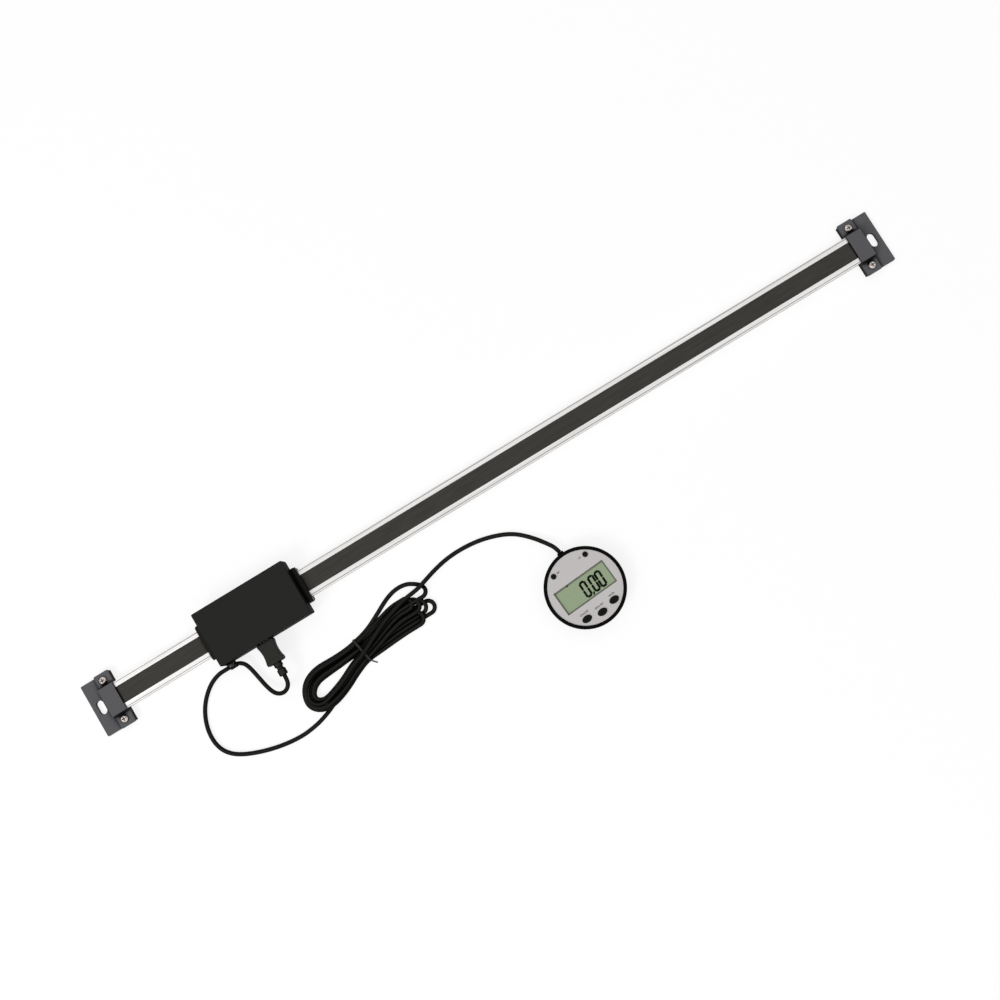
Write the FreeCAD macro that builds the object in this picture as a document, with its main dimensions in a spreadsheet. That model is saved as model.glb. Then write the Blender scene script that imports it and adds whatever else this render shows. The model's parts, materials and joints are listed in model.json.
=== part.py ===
import FreeCAD, Part
import math
import os
import re
import Sketcher

# Digital linear scale: a rail between two end brackets, a reader head that slides
# on the rail, and a round remote display on a lead. Millimetres.
# X runs along the rail, Z up; the origin is the left fixing slot on the mounting plane.

doc = FreeCAD.newDocument("digital_linear_scale")
sheet = doc.addObject("Spreadsheet::Sheet", "Dims")
rows = []


def dim(alias, value, meaning):
    rows.append(alias)
    row = str(len(rows))
    sheet.set("A" + row, alias)
    sheet.set("B" + row, str(value))
    sheet.setAlias("B" + row, alias)
    sheet.set("C" + row, meaning)


# Clearances shared by all pieces
dim("run_gap", 0.3, "running clearance round the rail and the buttons")
dim("seat_gap", 0.1, "side clearance of a piece that is let into another")
dim("thread_gap", 0.05, "screw shank to hole, on the radius")
dim("over", 1, "how far a cutter runs past the face that it opens")

# Rail and tape
dim("slot_pitch", 650, "distance between the two fixing slots")
dim("rail_inset", 7.6, "slot centre to the end of the rail")
dim("rail_width", 21.2, "rail, across")
dim("rail_height", 8, "rail, top to bottom")
dim("groove_depth", 1.6, "side groove, inwards")
dim("groove_height", 2.4, "side groove, opening")
dim("groove_level", 4, "side groove centre above the rail's underside")
dim("belly_width", 12, "relief under the rail")
dim("belly_depth", 1.2, "relief under the rail, depth")
dim("line_inset", 0.9, "fine line on the lands, from the rail's edge")
dim("line_width", 0.5, "fine line, across")
dim("line_depth", 0.3, "fine line, depth")
dim("tape_width", 13.2, "scale tape, across")
dim("tape_thick", 0.7, "scale tape, thickness")
dim("tape_sink", 0.1, "tape top below the lands")

# End brackets
dim("slot_width", 5.6, "fixing slot for an M5 screw")
dim("slot_length", 10.6, "fixing slot, end to end")
dim("flange_out", 6.3, "slot centre to the outer edge")
dim("flange_thick", 3, "slotted flange")
dim("base_inner", 17.8, "slot centre to the inner edge")
dim("step_at", 6, "slot centre to the step up to the pads")
dim("pad_height", 4.8, "pads beside the rail")
dim("base_floor", 2.5, "floor under the rail")
dim("strap_thick", 1.5, "clamp strap sheet")
dim("strap_out", 6.2, "slot centre to the strap's outer edge")
dim("end_wall", 1.2, "strap's closed end")
dim("strap_room", 0.1, "strap's sides to the rail")
dim("ear_width", 9.1, "strap ear beside the hat")
dim("ear_lap", 0.8, "strap ear beyond the base")
dim("hat_lean", 1.2, "strap's walls lean in, from ear to top")
dim("hat_round", 0.5, "strap's outer bends")
dim("ear_round", 0.4, "strap's bend between hat and ear")
dim("corner_round", 0.8, "plan corners of base and strap")
dim("clamp_inset", 6.45, "clamp screws from the base's inner edge")
dim("clamp_side", 3.55, "clamp screws from the hat's side")
dim("clamp_hole", 1.7, "strap's screw hole radius")
dim("pan_radius", 2.75, "M3 pan head radius")
dim("pan_height", 2, "M3 pan head height")
dim("pan_rim", 0.9, "M3 pan head, height of its upright rim")
dim("pan_crown", 1.9, "M3 pan head, radius of its flat crown")
dim("bolt_radius", 1.5, "M3 thread radius")
dim("cross_width", 0.7, "cross recess, arm")
dim("cross_span", 3.2, "cross recess, tip to tip")
dim("cross_depth", 1.1, "cross recess, depth")
dim("clamp_tip", 0.6, "clamp screw tip above the mounting plane")

# Reader head
dim("head_x", 130.2, "head centre from the left slot, as it stands")
dim("cover_length", 74.8, "head cover, along")
dim("cover_side", 7.6, "head cover beyond the carriage's side")
dim("cover_drop", 6.2, "head cover's lower edge below the deck")
dim("cover_rise", 9.8, "head cover's top above the deck")
dim("cover_wall", 1.8, "head cover walls and roof")
dim("cover_round", 1, "head cover upright corners")
dim("cover_edge", 0.6, "head cover top edge")
dim("end_reach", 4.4, "carriage with its wiper beyond the cover, each end")
dim("carriage_wall", 2.85, "carriage cheeks beside the rail")
dim("carriage_low", 1.5, "carriage underside above the mounting plane")
dim("deck_thick", 1.4, "deck over the rail")
dim("window_length", 54, "deck window for the sensor plate")
dim("window_side", 0.8, "deck window beyond the tape, each side")
dim("sensor_gap", 0.2, "sensor plate to its window")
dim("glide_height", 1.8, "glide strip, height in the groove")
dim("glide_seat", 1, "glide strip let into the carriage cheek")
dim("wiper_thick", 2.2, "end wiper")
dim("wiper_round", 1.8, "end wiper's outer corners")
dim("wiper_screw_drop", 2.6, "wiper screws below the deck's top")
dim("tiny_head", 1.4, "wiper screw head radius")
dim("tiny_rise", 1, "wiper screw head, let into the wiper")
dim("tiny_shank", 0.6, "wiper screw shank radius")
dim("tiny_reach", 4, "wiper screw in the carriage")
dim("tray_thick", 3, "carriage side tray that closes the cover")
dim("tray_round", 1, "side tray's outer corners")
dim("fix_inset", 11.4, "head fixing holes from the cover's ends")
dim("fix_side", 4.75, "head fixing holes from the cover's sides")
dim("fix_radius", 1.25, "head fixing hole, M3 tapping radius")
dim("fix_depth", 5.5, "head fixing hole depth")
dim("fix_boss", 2.7, "boss round a head fixing hole")
dim("fix_boss_low", 1, "boss top below the deck's top")
dim("post_inset", 4, "cover screw posts from the cover's ends")
dim("post_side", 4.15, "cover screw posts from the cover's sides")
dim("post_radius", 2.4, "cover screw posts")
dim("small_head", 1.9, "M2 head radius")
dim("small_rise", 1.3, "M2 head height")
dim("small_shank", 0.8, "M2 shank radius")
dim("small_hole", 1.1, "M2 clearance hole radius")
dim("small_sink", 0.1, "M2 head below the tray's underside")
dim("post_depth", 4, "cover screw in its post")
dim("board_thick", 1.2, "circuit boards")
dim("board_room", 1.6, "reader board's ends from the cover's inside")
dim("board_side", 0.35, "reader board inside the carriage's sides")
dim("tongue_width", 16, "reader board under the socket")
dim("board_fix_inset", 3, "reader board screws from the board's ends")
dim("board_fix_depth", 3.6, "reader board screw in the carriage")
dim("chip_size", 10, "reader chip, square")
dim("chip_thick", 1.6, "reader chip, thickness")
dim("capacitor_length", 3.2, "capacitor, along")
dim("capacitor_width", 1.6, "capacitor, across and high")
dim("capacitor_step", 3.2, "capacitor to capacitor")
dim("crystal_length", 8, "crystal, along")
dim("crystal_width", 3.4, "crystal, across")

# Socket and plug
dim("plug_shift", -2.45, "plug centre from the head centre, along")
dim("socket_width", 8, "socket shell outside")
dim("socket_height", 4.1, "socket shell outside")
dim("socket_depth", 9, "socket shell, inwards")
dim("socket_wall", 0.35, "socket shell metal")
dim("socket_sink", 0.35, "socket mouth inside the cover's face")
dim("contact_width", 5.2, "socket tongue")
dim("contact_thick", 0.5, "socket tongue")
dim("contact_length", 6, "socket tongue")
dim("tip_width", 6.9, "plug tip")
dim("tip_height", 3, "plug tip")
dim("tip_length", 6.4, "plug tip")
dim("tip_wall", 0.35, "plug tip metal")
dim("plug_stand", 0.25, "plug grip from the cover's face")
dim("plug_width", 13.2, "plug grip, across")
dim("plug_height", 8.2, "plug grip, high")
dim("plug_length", 17.5, "plug grip, long")
dim("waist_depth", 1, "plug grip waist, each side")
dim("waist_chord", 13, "plug grip waist, long")
dim("plug_round", 1.4, "plug grip corners")
dim("plug_edge", 0.7, "plug grip upper and lower edges")
dim("relief_radius", 3.25, "strain relief rings")
dim("relief_neck", 2.4, "strain relief neck")
dim("relief_first", 3.2, "strain relief first ring, long")
dim("relief_gap", 1.7, "strain relief neck, long")
dim("relief_last", 5, "strain relief last ring, long")
dim("relief_bevel", 0.5, "strain relief rings, bevelled ends")

# Cable and its clip
dim("cable_radius", 1.6, "lead")
dim("clip_inset", 5.6, "clip from the cover's left end")
dim("clip_width", 5.4, "clip band")
dim("clip_band", 0.8, "clip band round the lead")
dim("clip_lead", 2.2, "lead in the clip above the cover's lower edge")
dim("clip_tab", 1.4, "clip tab on the cover")
dim("clip_tall", 10, "clip tab's top above the cover's lower edge")
dim("clip_fix", 7.4, "clip screw above the cover's lower edge")
dim("clip_head", 2.1, "clip screw head radius")
dim("clip_rise", 1.5, "clip screw head height")
dim("clip_crown", 1.7, "clip screw head, radius of its flat crown")
dim("clip_rim", 0.8, "clip screw head, height of its upright rim")
dim("clip_sink", 0.6, "clip screw cross recess, depth")
dim("clip_reach", 5, "clip screw below its head")
dim("lead_out", 4.8, "lead straight out of the strain relief")
dim("clip_before", 2.6, "lead straight before the clip's middle")
dim("clip_after", 5.2, "lead straight after the clip's middle")
dim("tail_out", 4.6, "lead straight out of the grommet")
dim("hank_height", 7.2, "hank of lead as it lies")
dim("tie_x", 182.6, "tie round the hank")
dim("tie_y", -62, "tie round the hank")
dim("tie_turn", 11, "tie turned with the hank, degrees")
dim("tie_width", 1.8, "tie, along the hank")
dim("tie_thick", 0.8, "tie wire ribbon")
dim("tie_proud", 0.4, "tie above the hank's top")
dim("tie_span", 20.6, "tie outside, across the hank")
dim("tie_round", 2.2, "tie's corners round the hank")
dim("tie_tail", 5, "tie's twisted ends")
dim("tie_tail_radius", 0.7, "tie's twisted ends")

# Display
dim("display_x", 342, "display centre")
dim("display_y", -106.6, "display centre")
dim("display_turn", 4.3, "display turned against the rail, degrees")
dim("lcd_length", 42.2, "LCD opening in the face plate")
dim("lcd_width", 18.5, "LCD opening in the face plate")
dim("lcd_side", 8.4, "LCD opening's end to the housing's outside")
dim("display_height", 14, "display housing")
dim("rim_width", 2.5, "display rim round the face")
dim("rim_bevel", 0.7, "display rim's outer bevel")
dim("foot_bevel", 1.2, "display housing's lower bevel")
dim("case_wall", 3.1, "display housing wall below the face")
dim("case_floor", 2, "display housing floor")
dim("face_thick", 1.4, "face plate")
dim("face_sink", 0.6, "face plate below the rim")
dim("window_lip", 1.3, "window flange behind the face plate")
dim("lip_thick", 0.6, "window flange, thickness")
dim("window_sink", 0.1, "window below the face")
dim("panel_side", 0.95, "LCD panel beyond its opening")
dim("panel_thick", 1.8, "LCD panel")
dim("strip_inset", 3.1, "elastomer strips' ends inside the LCD opening")
dim("strip_width", 2, "elastomer strips")
dim("strip_height", 2, "elastomer strips")
dim("circuit_room", 0.5, "display board to the housing's wall")
dim("notch_width", 9, "display board notch at the grommet")
dim("notch_depth", 4.2, "display board notch from the board's edge")
dim("case_high_inset", 7.7, "upper display board screws from the wall, across")
dim("case_high_y", 13, "upper display board screws")
dim("case_low_inset", 5.2, "lower display board screws from the wall, across")
dim("case_low_y", -9, "lower display board screws")
dim("case_post", 2.2, "posts under the display board")
dim("key_size", 3.6, "key switch, square")
dim("key_height", 1.4, "key switch, high")
dim("oval_length", 7.1, "oval button, long")
dim("oval_width", 4.5, "oval button, wide")
dim("oval_x", 11.7, "outer oval buttons from the centre")
dim("oval_edge", 10.8, "outer oval buttons from the housing's outside")
dim("middle_edge", 8.55, "middle oval button from the housing's outside")
dim("button_rise", 0.9, "oval button above the face")
dim("button_bevel", 0.45, "oval button's crown")
dim("button_lip", 0.8, "oval button flange behind the face plate")
dim("button_lip_thick", 0.7, "button flange thickness")
dim("button_play", 0.1, "button flange below the face plate")
dim("button_stem", 1.2, "button stem radius")
dim("button_travel", 0.5, "button stem above its switch")
dim("dot_radius", 1.75, "small round button")
dim("dot_lip", 0.6, "small round button flange")
dim("dot_x", 13.7, "small round buttons from the centre")
dim("dot_edge", 10.3, "small round buttons from the housing's outside")
dim("dot_rise", 0.5, "small round button above the face")
dim("dot_bevel", 0.3, "small round button's crown")
dim("cell_radius", 10, "coin cell")
dim("cell_thick", 3.2, "coin cell")
dim("cell_bevel", 0.4, "coin cell's lower edge")
dim("holder_wall", 1.6, "coin cell holder")
dim("contact_leaf", 0.6, "coin cell contact leaves")
dim("leaf_length", 13, "coin cell contact leaves")
dim("leaf_width", 4.5, "coin cell contact leaves")
dim("door_step", 2, "battery cover's outer step")
dim("door_thick", 1.2, "battery cover's outer step, thickness")
dim("coin_length", 12, "coin slot in the battery cover")
dim("coin_width", 1.6, "coin slot in the battery cover")
dim("coin_depth", 0.8, "coin slot in the battery cover")
dim("magnet_radius", 4, "holding magnets")
dim("magnet_thick", 1.5, "holding magnets")
dim("magnet_gap", 2, "holding magnets from the battery cover")
dim("entry_level", 5.6, "lead's height at the display")
dim("grommet_radius", 2.5, "grommet in the display wall")
dim("grommet_lip", 3.3, "grommet flange inside the wall")
dim("grommet_lip_thick", 1, "grommet flange inside the wall")
dim("grommet_out", 1.6, "grommet outside the wall")
dim("grommet_bevel", 0.4, "grommet's outer edge")

doc.recompute()

WORD = re.compile(r"[a-z][a-z_]+")


def value(alias):
    return float(sheet.get(alias))


def number(text):
    return float(sheet.evalExpression(str(text)))


def bind(obj, prop, text):
    obj.setExpression(prop, WORD.sub(lambda found: "Dims." + found.group(0), str(text)))


# Primitives and booleans whose sizes follow the sheet
UPRIGHT = {
    "x": FreeCAD.Rotation(FreeCAD.Vector(0, 1, 0), 90),
    "y": FreeCAD.Rotation(FreeCAD.Vector(1, 0, 0), -90),
    "-y": FreeCAD.Rotation(FreeCAD.Vector(1, 0, 0), 90),
    "z": FreeCAD.Rotation(),
}


def stand(obj, axis, at):
    obj.Placement = FreeCAD.Placement(FreeCAD.Vector(), UPRIGHT[axis])
    others = [a for a in "xyz" if a != axis[-1]]
    for other, text in zip(others, at):
        bind(obj, "Placement.Base." + other, text)


def block(name, x, y, z):
    obj = doc.addObject("Part::Box", name)
    for prop, axis, span in (("Length", "x", x), ("Width", "y", y), ("Height", "z", z)):
        bind(obj, prop, "(%s) - (%s)" % (span[1], span[0]))
        bind(obj, "Placement.Base." + axis, span[0])
    return obj


def rod(name, axis, at, radius, span):
    obj = doc.addObject("Part::Cylinder", name)
    stand(obj, axis, at)
    bind(obj, "Radius", radius)
    bind(obj, "Height", "(%s) - (%s)" % (span[1], span[0]))
    bind(obj, "Placement.Base." + axis, span[0])
    return obj


def both(half):
    return ("-(%s)" % half, half)


def about(middle, size):
    return ("(%s) - (%s) / 2" % (middle, size), "(%s) + (%s) / 2" % (middle, size))


def fuse(name, shapes):
    obj = doc.addObject("Part::MultiFuse", name)
    obj.Shapes = shapes
    return obj


def group(name, shapes):
    obj = doc.addObject("Part::Compound", name)
    obj.Links = shapes
    return obj


def cut(name, base, tools):
    obj = doc.addObject("Part::Cut", name)
    obj.Base = base
    obj.Tool = tools[0] if len(tools) == 1 else fuse(name + "_tools", tools)
    return obj


def mirrored(obj, normal):
    copy = doc.addObject("Part::Mirroring", obj.Name + "_mirrored")
    copy.Source = obj
    copy.Base = FreeCAD.Vector()
    copy.Normal = normal
    return copy


def left_and_right(obj):
    return [obj, mirrored(obj, FreeCAD.Vector(1, 0, 0))]


def front_and_rear(obj):
    return [obj, mirrored(obj, FreeCAD.Vector(0, 1, 0))]


def all_four(obj):
    return [copy for side in left_and_right(obj) for copy in front_and_rear(side)]


def near(one, other):
    return abs(one - other) < 1e-4


def edges_of(shape, choose):
    return [i + 1 for i, edge in enumerate(shape.Edges) if choose(edge.BoundBox)]


def round_off(name, base, radius, choose):
    doc.recompute()
    size = value(radius)
    obj = doc.addObject("Part::Fillet", name)
    obj.Base = base
    obj.Edges = [(i, size, size) for i in edges_of(base.Shape, choose)]
    return obj


def oval(name, at, length, width, span):
    ring = doc.addObject("Part::Ellipse", name + "_ring")
    bind(ring, "MajorRadius", "(%s) / 2" % length)
    bind(ring, "MinorRadius", "(%s) / 2" % width)
    for axis, text in zip("xyz", (*at, span[0])):
        bind(ring, "Placement.Base." + axis, text)
    obj = doc.addObject("Part::Extrusion", name)
    obj.Base = ring
    obj.DirMode = "Custom"
    obj.Dir = FreeCAD.Vector(0, 0, 1)
    obj.Solid = True
    bind(obj, "LengthFwd", "(%s) - (%s)" % (span[1], span[0]))
    return obj


# Bodies: sketches whose corners are tied to the sheet, and their features
def new_body(name):
    return doc.addObject("PartDesign::Body", name)


def outline(body, role, corners, at="0"):
    sketch = body.newObject("Sketcher::SketchObject", body.Name + "_outline")
    plane = [o for o in body.Origin.OriginFeatures if o.Role == role][0]
    sketch.AttachmentSupport = [(plane, "")]
    sketch.MapMode = "FlatFace"
    bind(sketch, "AttachmentOffset.Base.z", at)
    spots = [FreeCAD.Vector(number(x), number(y), 0) for x, y in corners]
    for i, spot in enumerate(spots):
        sketch.addGeometry(Part.LineSegment(spot, spots[(i + 1) % len(spots)]), False)
    for i in range(len(spots)):
        after = (i + 1) % len(spots)
        sketch.addConstraint(Sketcher.Constraint("Coincident", i, 2, after, 1))
    for i, (x, y) in enumerate(corners):
        sides = (("DistanceX", x, spots[i].x, -2), ("DistanceY", y, spots[i].y, -1))
        for kind, text, start, axis in sides:
            if near(start, 0):
                sketch.addConstraint(Sketcher.Constraint("PointOnObject", i, 1, axis))
                continue
            sketch.addConstraint(Sketcher.Constraint(kind, -1, 1, i, 1, start))
            bind(sketch, "Constraints[%d]" % (sketch.ConstraintCount - 1), text)
    return sketch


def rectangle(x, y):
    return [(x[0], y[0]), (x[1], y[0]), (x[1], y[1]), (x[0], y[1])]


def pad(body, sketch, length, sides="One side"):
    feature = body.newObject("PartDesign::Pad", body.Name + "_pad")
    feature.Profile = sketch
    feature.SideType = sides
    bind(feature, "Length", length)
    return feature


def pocket(body, sketch, length, sides="One side"):
    feature = body.newObject("PartDesign::Pocket", body.Name + "_pocket")
    feature.Profile = sketch
    feature.SideType = sides
    bind(feature, "Length", length)
    return feature


def fillet(body, radius, choose):
    doc.recompute()
    base = body.Tip
    names = ["Edge%d" % i for i in edges_of(base.Shape, choose)]
    feature = body.newObject("PartDesign::Fillet", body.Name + "_fillet")
    feature.Base = (base, names)
    bind(feature, "Radius", radius)
    return feature


def hollow_out(body, wall, level):
    doc.recompute()
    base = body.Tip
    faces = [i + 1 for i, face in enumerate(base.Shape.Faces) if near(face.BoundBox.ZMax, level)]
    feature = body.newObject("PartDesign::Thickness", body.Name + "_shell")
    feature.Base = (base, ["Face%d" % i for i in faces])
    feature.Reversed = True
    bind(feature, "Value", wall)
    return feature


def turned(name, axis, at, profile):
    body = new_body(name)
    sketch = outline(body, "XZ_Plane", profile)
    feature = body.newObject("PartDesign::Revolution", name + "_turn")
    feature.Profile = sketch
    feature.ReferenceAxis = (sketch, ["V_Axis"])
    feature.Angle = 360
    stand(body, axis, at)
    return body


# A screw is turned from its tip up; a flat crown above the rim makes a pan head
def screw(name, axis, at, shank, tip, seat, head, top, rim=None, crown=None):
    crest = [(head, top)] if rim is None else [(head, rim), (crown, top)]
    profile = [("0", tip), (shank, tip), (shank, seat), (head, seat)] + crest + [("0", top)]
    return turned(name, axis, at, profile)


def cross_recess(body, top, depth):
    arm = "cross_width / 2"
    reach = "cross_span / 2"
    quarter = [(arm, reach), (arm, arm), (reach, arm)]
    right = quarter + [(x, "-(%s)" % y) for x, y in reversed(quarter)]
    left = [("-(%s)" % x, y) for x, y in reversed(right)]
    pocket(body, outline(body, "XY_Plane", right + left, at=top), depth)


# Finished pieces: label and place
pieces = {}
PLACES = {
    "left": ("0", "0", 0),
    "right": ("slot_pitch", "0", 180),
    "head": ("head_x", "0", 0),
    "display": ("display_x", "display_y", value("display_turn")),
    "tie": ("tie_x", "tie_y", value("tie_turn")),
}


def finish(label, obj, place):
    if obj.TypeId in ("Part::Box", "Part::Cylinder", "PartDesign::Body", "Part::Mirroring"):
        obj = group(label + "_solid", [obj])
    x, y, angle = PLACES[place]
    spin = FreeCAD.Rotation(FreeCAD.Vector(0, 0, 1), angle)
    obj.Placement = FreeCAD.Placement(FreeCAD.Vector(), spin)
    bind(obj, "Placement.Base.x", x)
    bind(obj, "Placement.Base.y", y)
    obj.Label = label
    pieces[label] = obj
    return obj


# Rail: extruded section with tape recess, side grooves and a relieved underside
rail_half = "rail_width / 2"
rail_top = "(base_floor + rail_height)"
groove_mid = "(base_floor + groove_level)"
groove_low = groove_mid + " - groove_height / 2"
groove_high = groove_mid + " + groove_height / 2"
groove_floor = "rail_width / 2 - groove_depth"
recess_half = "tape_width / 2 + seat_gap / 2"
recess_low = rail_top + " - tape_thick - tape_sink"
line_at = "rail_width / 2 - line_inset"
belly_top = "base_floor + belly_depth"
rail_right = [
    ("belly_width / 2", belly_top),
    ("belly_width / 2", "base_floor"),
    (rail_half, "base_floor"),
    (rail_half, groove_low),
    (groove_floor, groove_low),
    (groove_floor, groove_high),
    (rail_half, groove_high),
    (rail_half, rail_top),
    (line_at + " + line_width / 2", rail_top),
    (line_at, rail_top + " - line_depth"),
    (line_at + " - line_width / 2", rail_top),
    (recess_half, rail_top),
    (recess_half, recess_low),
]
rail_left = [("-(%s)" % y, z) for y, z in reversed(rail_right)]
rail = new_body("rail_body")
rail_section = outline(rail, "YZ_Plane", rail_right + rail_left, at="rail_inset")
pad(rail, rail_section, "slot_pitch - 2 * rail_inset")
finish("rail", rail, "left")

tape = block(
    "tape_strip",
    ("rail_inset", "slot_pitch - rail_inset"),
    both("tape_width / 2"),
    (recess_low, rail_top + " - tape_sink"),
)
finish("scale_tape", tape, "left")


# End brackets: stepped base, bent clamp strap over the rail's end, two clamp screws
channel_half = "(rail_width / 2 + seat_gap)"
channel_from = "(strap_out + end_wall)"
strap_half = "(rail_width / 2 + strap_room)"
hat_half = "(rail_width / 2 + strap_room + strap_thick)"
hat_top = "(base_floor + rail_height + strap_thick)"
ear_top = "(pad_height + strap_thick)"
ear_half = "(rail_width / 2 + strap_room + strap_thick + ear_width)"
base_half = "(%s - ear_lap)" % ear_half
clamp_at = ("base_inner - clamp_inset", hat_half + " + clamp_side")


def bracket(side):
    base = new_body(side + "_base_body")
    steps = [
        ("-flange_out", "0"),
        ("base_inner", "0"),
        ("base_inner", "pad_height"),
        ("step_at", "pad_height"),
        ("step_at", "flange_thick"),
        ("-flange_out", "flange_thick"),
    ]
    pad(base, outline(base, "XZ_Plane", steps), "2 * " + base_half, "Symmetric")
    bed = rectangle((channel_from, "base_inner"), both(channel_half))
    pocket(base, outline(base, "XY_Plane", bed, at="pad_height"), "pad_height - base_floor")
    edge = -value("flange_out")
    fillet(
        base,
        "corner_round",
        lambda b: near(b.XMin, edge) and near(b.XMax, edge) and b.YLength < b.ZLength,
    )
    through = ("-over", "pad_height + over")
    slot_reach = "slot_length / 2 - slot_width / 2"
    slot_end = rod(side + "_slot_end", "z", ("0", slot_reach), "slot_width / 2", through)
    slot = block(side + "_slot", both("slot_width / 2"), both(slot_reach), through)
    tap = rod(side + "_tap", "z", clamp_at, "bolt_radius", through)
    openings = [slot] + front_and_rear(slot_end) + front_and_rear(tap)
    finish("bracket_base_" + side, cut(side + "_base", base, openings), side)

    strap = new_body(side + "_strap_body")
    outside = [
        (ear_half, "pad_height"),
        (ear_half, ear_top),
        (hat_half, ear_top),
        (hat_half + " - hat_lean", hat_top),
    ]
    inside = [(strap_half, rail_top), (strap_half, "pad_height")]
    rear = inside + outside
    front = [("-(%s)" % y, z) for y, z in reversed(rear)]
    pad(strap, outline(strap, "YZ_Plane", rear + front, at=channel_from), "base_inner - " + channel_from)
    closed = outside + [("-(%s)" % y, z) for y, z in reversed(outside)]
    pad(strap, outline(strap, "YZ_Plane", closed, at="strap_out"), "end_wall")
    crest = number(hat_top)
    shoulder = number(ear_top)
    hat_side = number(hat_half)
    tip = number(ear_half)
    fillet(
        strap,
        "hat_round",
        lambda b: near(b.ZMin, crest) and near(b.ZMax, crest) and b.YLength < b.XLength,
    )
    fillet(
        strap,
        "ear_round",
        lambda b: near(b.ZMin, shoulder) and near(b.ZMax, shoulder) and near(abs(b.YMin), hat_side)
        and near(b.YMin, b.YMax),
    )
    fillet(
        strap,
        "corner_round",
        lambda b: near(abs(b.YMin), tip) and near(b.YMin, b.YMax) and b.XLength < b.ZLength,
    )
    hole_span = ("pad_height - over", ear_top + " + over")
    hole = rod(side + "_strap_hole", "z", clamp_at, "clamp_hole", hole_span)
    finish("clamp_strap_" + side, cut(side + "_strap", strap, front_and_rear(hole)), side)

    head_top = ear_top + " + pan_height"
    pan = screw(
        side + "_clamp_screw",
        "z",
        clamp_at,
        "bolt_radius - thread_gap",
        "clamp_tip",
        ear_top,
        "pan_radius",
        head_top,
        ear_top + " + pan_rim",
        "pan_crown",
    )
    cross_recess(pan, head_top, "cross_depth")
    finish("clamp_screws_" + side, group(side + "_clamp_screws", front_and_rear(pan)), side)


bracket("left")
bracket("right")

# Carriage: a saddle on the rail, its side trays close the cover from below
deck_low = "(base_floor + rail_height + run_gap)"
deck_top = "(base_floor + rail_height + run_gap + deck_thick)"
cheek_in = "(rail_width / 2 + run_gap)"
cheek_out = "(rail_width / 2 + run_gap + carriage_wall)"
cheek_mid = "(rail_width / 2 + run_gap + carriage_wall / 2)"
wiper_in = "(cover_length / 2 + end_reach - wiper_thick)"
wiper_out = "(cover_length / 2 + end_reach)"
glide_low = groove_mid + " - glide_height / 2"
glide_high = groove_mid + " + glide_height / 2"
glide_back = "(rail_width / 2 + run_gap + glide_seat)"
glide_tip = "(rail_width / 2 - groove_depth + run_gap)"
cover_low = "(%s - cover_drop)" % deck_top
cover_top = "(%s + cover_rise)" % deck_top
cover_half = "(%s + cover_side)" % cheek_out
tray_top = "(%s + tray_thick)" % cover_low
tray_end = "(cover_length / 2 - cover_wall - seat_gap)"
tray_edge = "(%s - cover_wall - seat_gap)" % cover_half
fix_at = ("cover_length / 2 - fix_inset", cover_half + " - fix_side")
post_at = ("cover_length / 2 - post_inset", cover_half + " - post_side")
board_end = "(cover_length / 2 - cover_wall - board_room)"
board_fix_at = (board_end + " - board_fix_inset", cheek_mid)
wiper_fix_at = (cheek_mid, deck_top + " - wiper_screw_drop")


def saddle(reach):
    rear = [
        (cheek_out, deck_top),
        (cheek_out, "carriage_low"),
        (cheek_in, "carriage_low"),
        (cheek_in, glide_low),
        (reach, glide_low),
        (reach, glide_high),
        (cheek_in, glide_high),
        (cheek_in, deck_low),
    ]
    return rear + [("-" + y, z) for y, z in reversed(rear)]


carriage = new_body("carriage_body")
pad(carriage, outline(carriage, "YZ_Plane", saddle(glide_back)), "2 * " + wiper_in, "Symmetric")
deck_window = rectangle(both("window_length / 2"), both("tape_width / 2 + window_side"))
pocket(carriage, outline(carriage, "XY_Plane", deck_window, at=deck_top), "deck_thick + over")
trays = [
    block("tray_" + word, both(tray_end), span, (cover_low, tray_top))
    for word, span in (
        ("front", ("-" + tray_edge, "-" + cheek_in + " - glide_seat")),
        ("rear", (cheek_in + " + glide_seat", tray_edge)),
    )
]
tray_outside = number(tray_edge)
rounded_trays = [
    round_off(
        tray.Name + "_rounded",
        tray,
        "tray_round",
        lambda b: near(abs(b.YMin), tray_outside) and near(b.YMin, b.YMax) and b.XLength < b.ZLength,
    )
    for tray in trays
]
boss = rod("fix_boss", "z", fix_at, "fix_boss", (cover_low, deck_top + " - fix_boss_low"))
fix_hole = rod("fix_hole", "z", fix_at, "fix_radius", (cover_low + " - over", cover_low + " + fix_depth"))
tray_hole = rod("tray_hole", "z", post_at, "small_hole", (cover_low + " - over", tray_top + " + over"))
tray_sink = rod(
    "tray_sink",
    "z",
    post_at,
    "small_head + seat_gap",
    (cover_low + " - over", cover_low + " + small_sink + small_rise"),
)
board_tap = rod(
    "board_tap",
    "z",
    board_fix_at,
    "small_shank",
    (deck_top + " - board_fix_depth", deck_top + " + over"),
)
wiper_tap = rod(
    "wiper_tap",
    "x",
    wiper_fix_at,
    "tiny_shank + thread_gap",
    (wiper_in + " - tiny_reach", wiper_in + " + over"),
)
carriage_holes = [
    hole for first in (fix_hole, tray_hole, tray_sink, board_tap, wiper_tap) for hole in all_four(first)
]
carriage_blank = fuse("carriage_blank", [carriage] + rounded_trays + all_four(boss))
finish("carriage", cut("carriage_cut", carriage_blank, carriage_holes), "head")

glide = block("glide_rear", both(wiper_in), (glide_tip, glide_back), (glide_low, glide_high))
finish("glide_strip_rear", glide, "head")
finish("glide_strip_front", mirrored(glide, FreeCAD.Vector(0, 1, 0)), "head")

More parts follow.
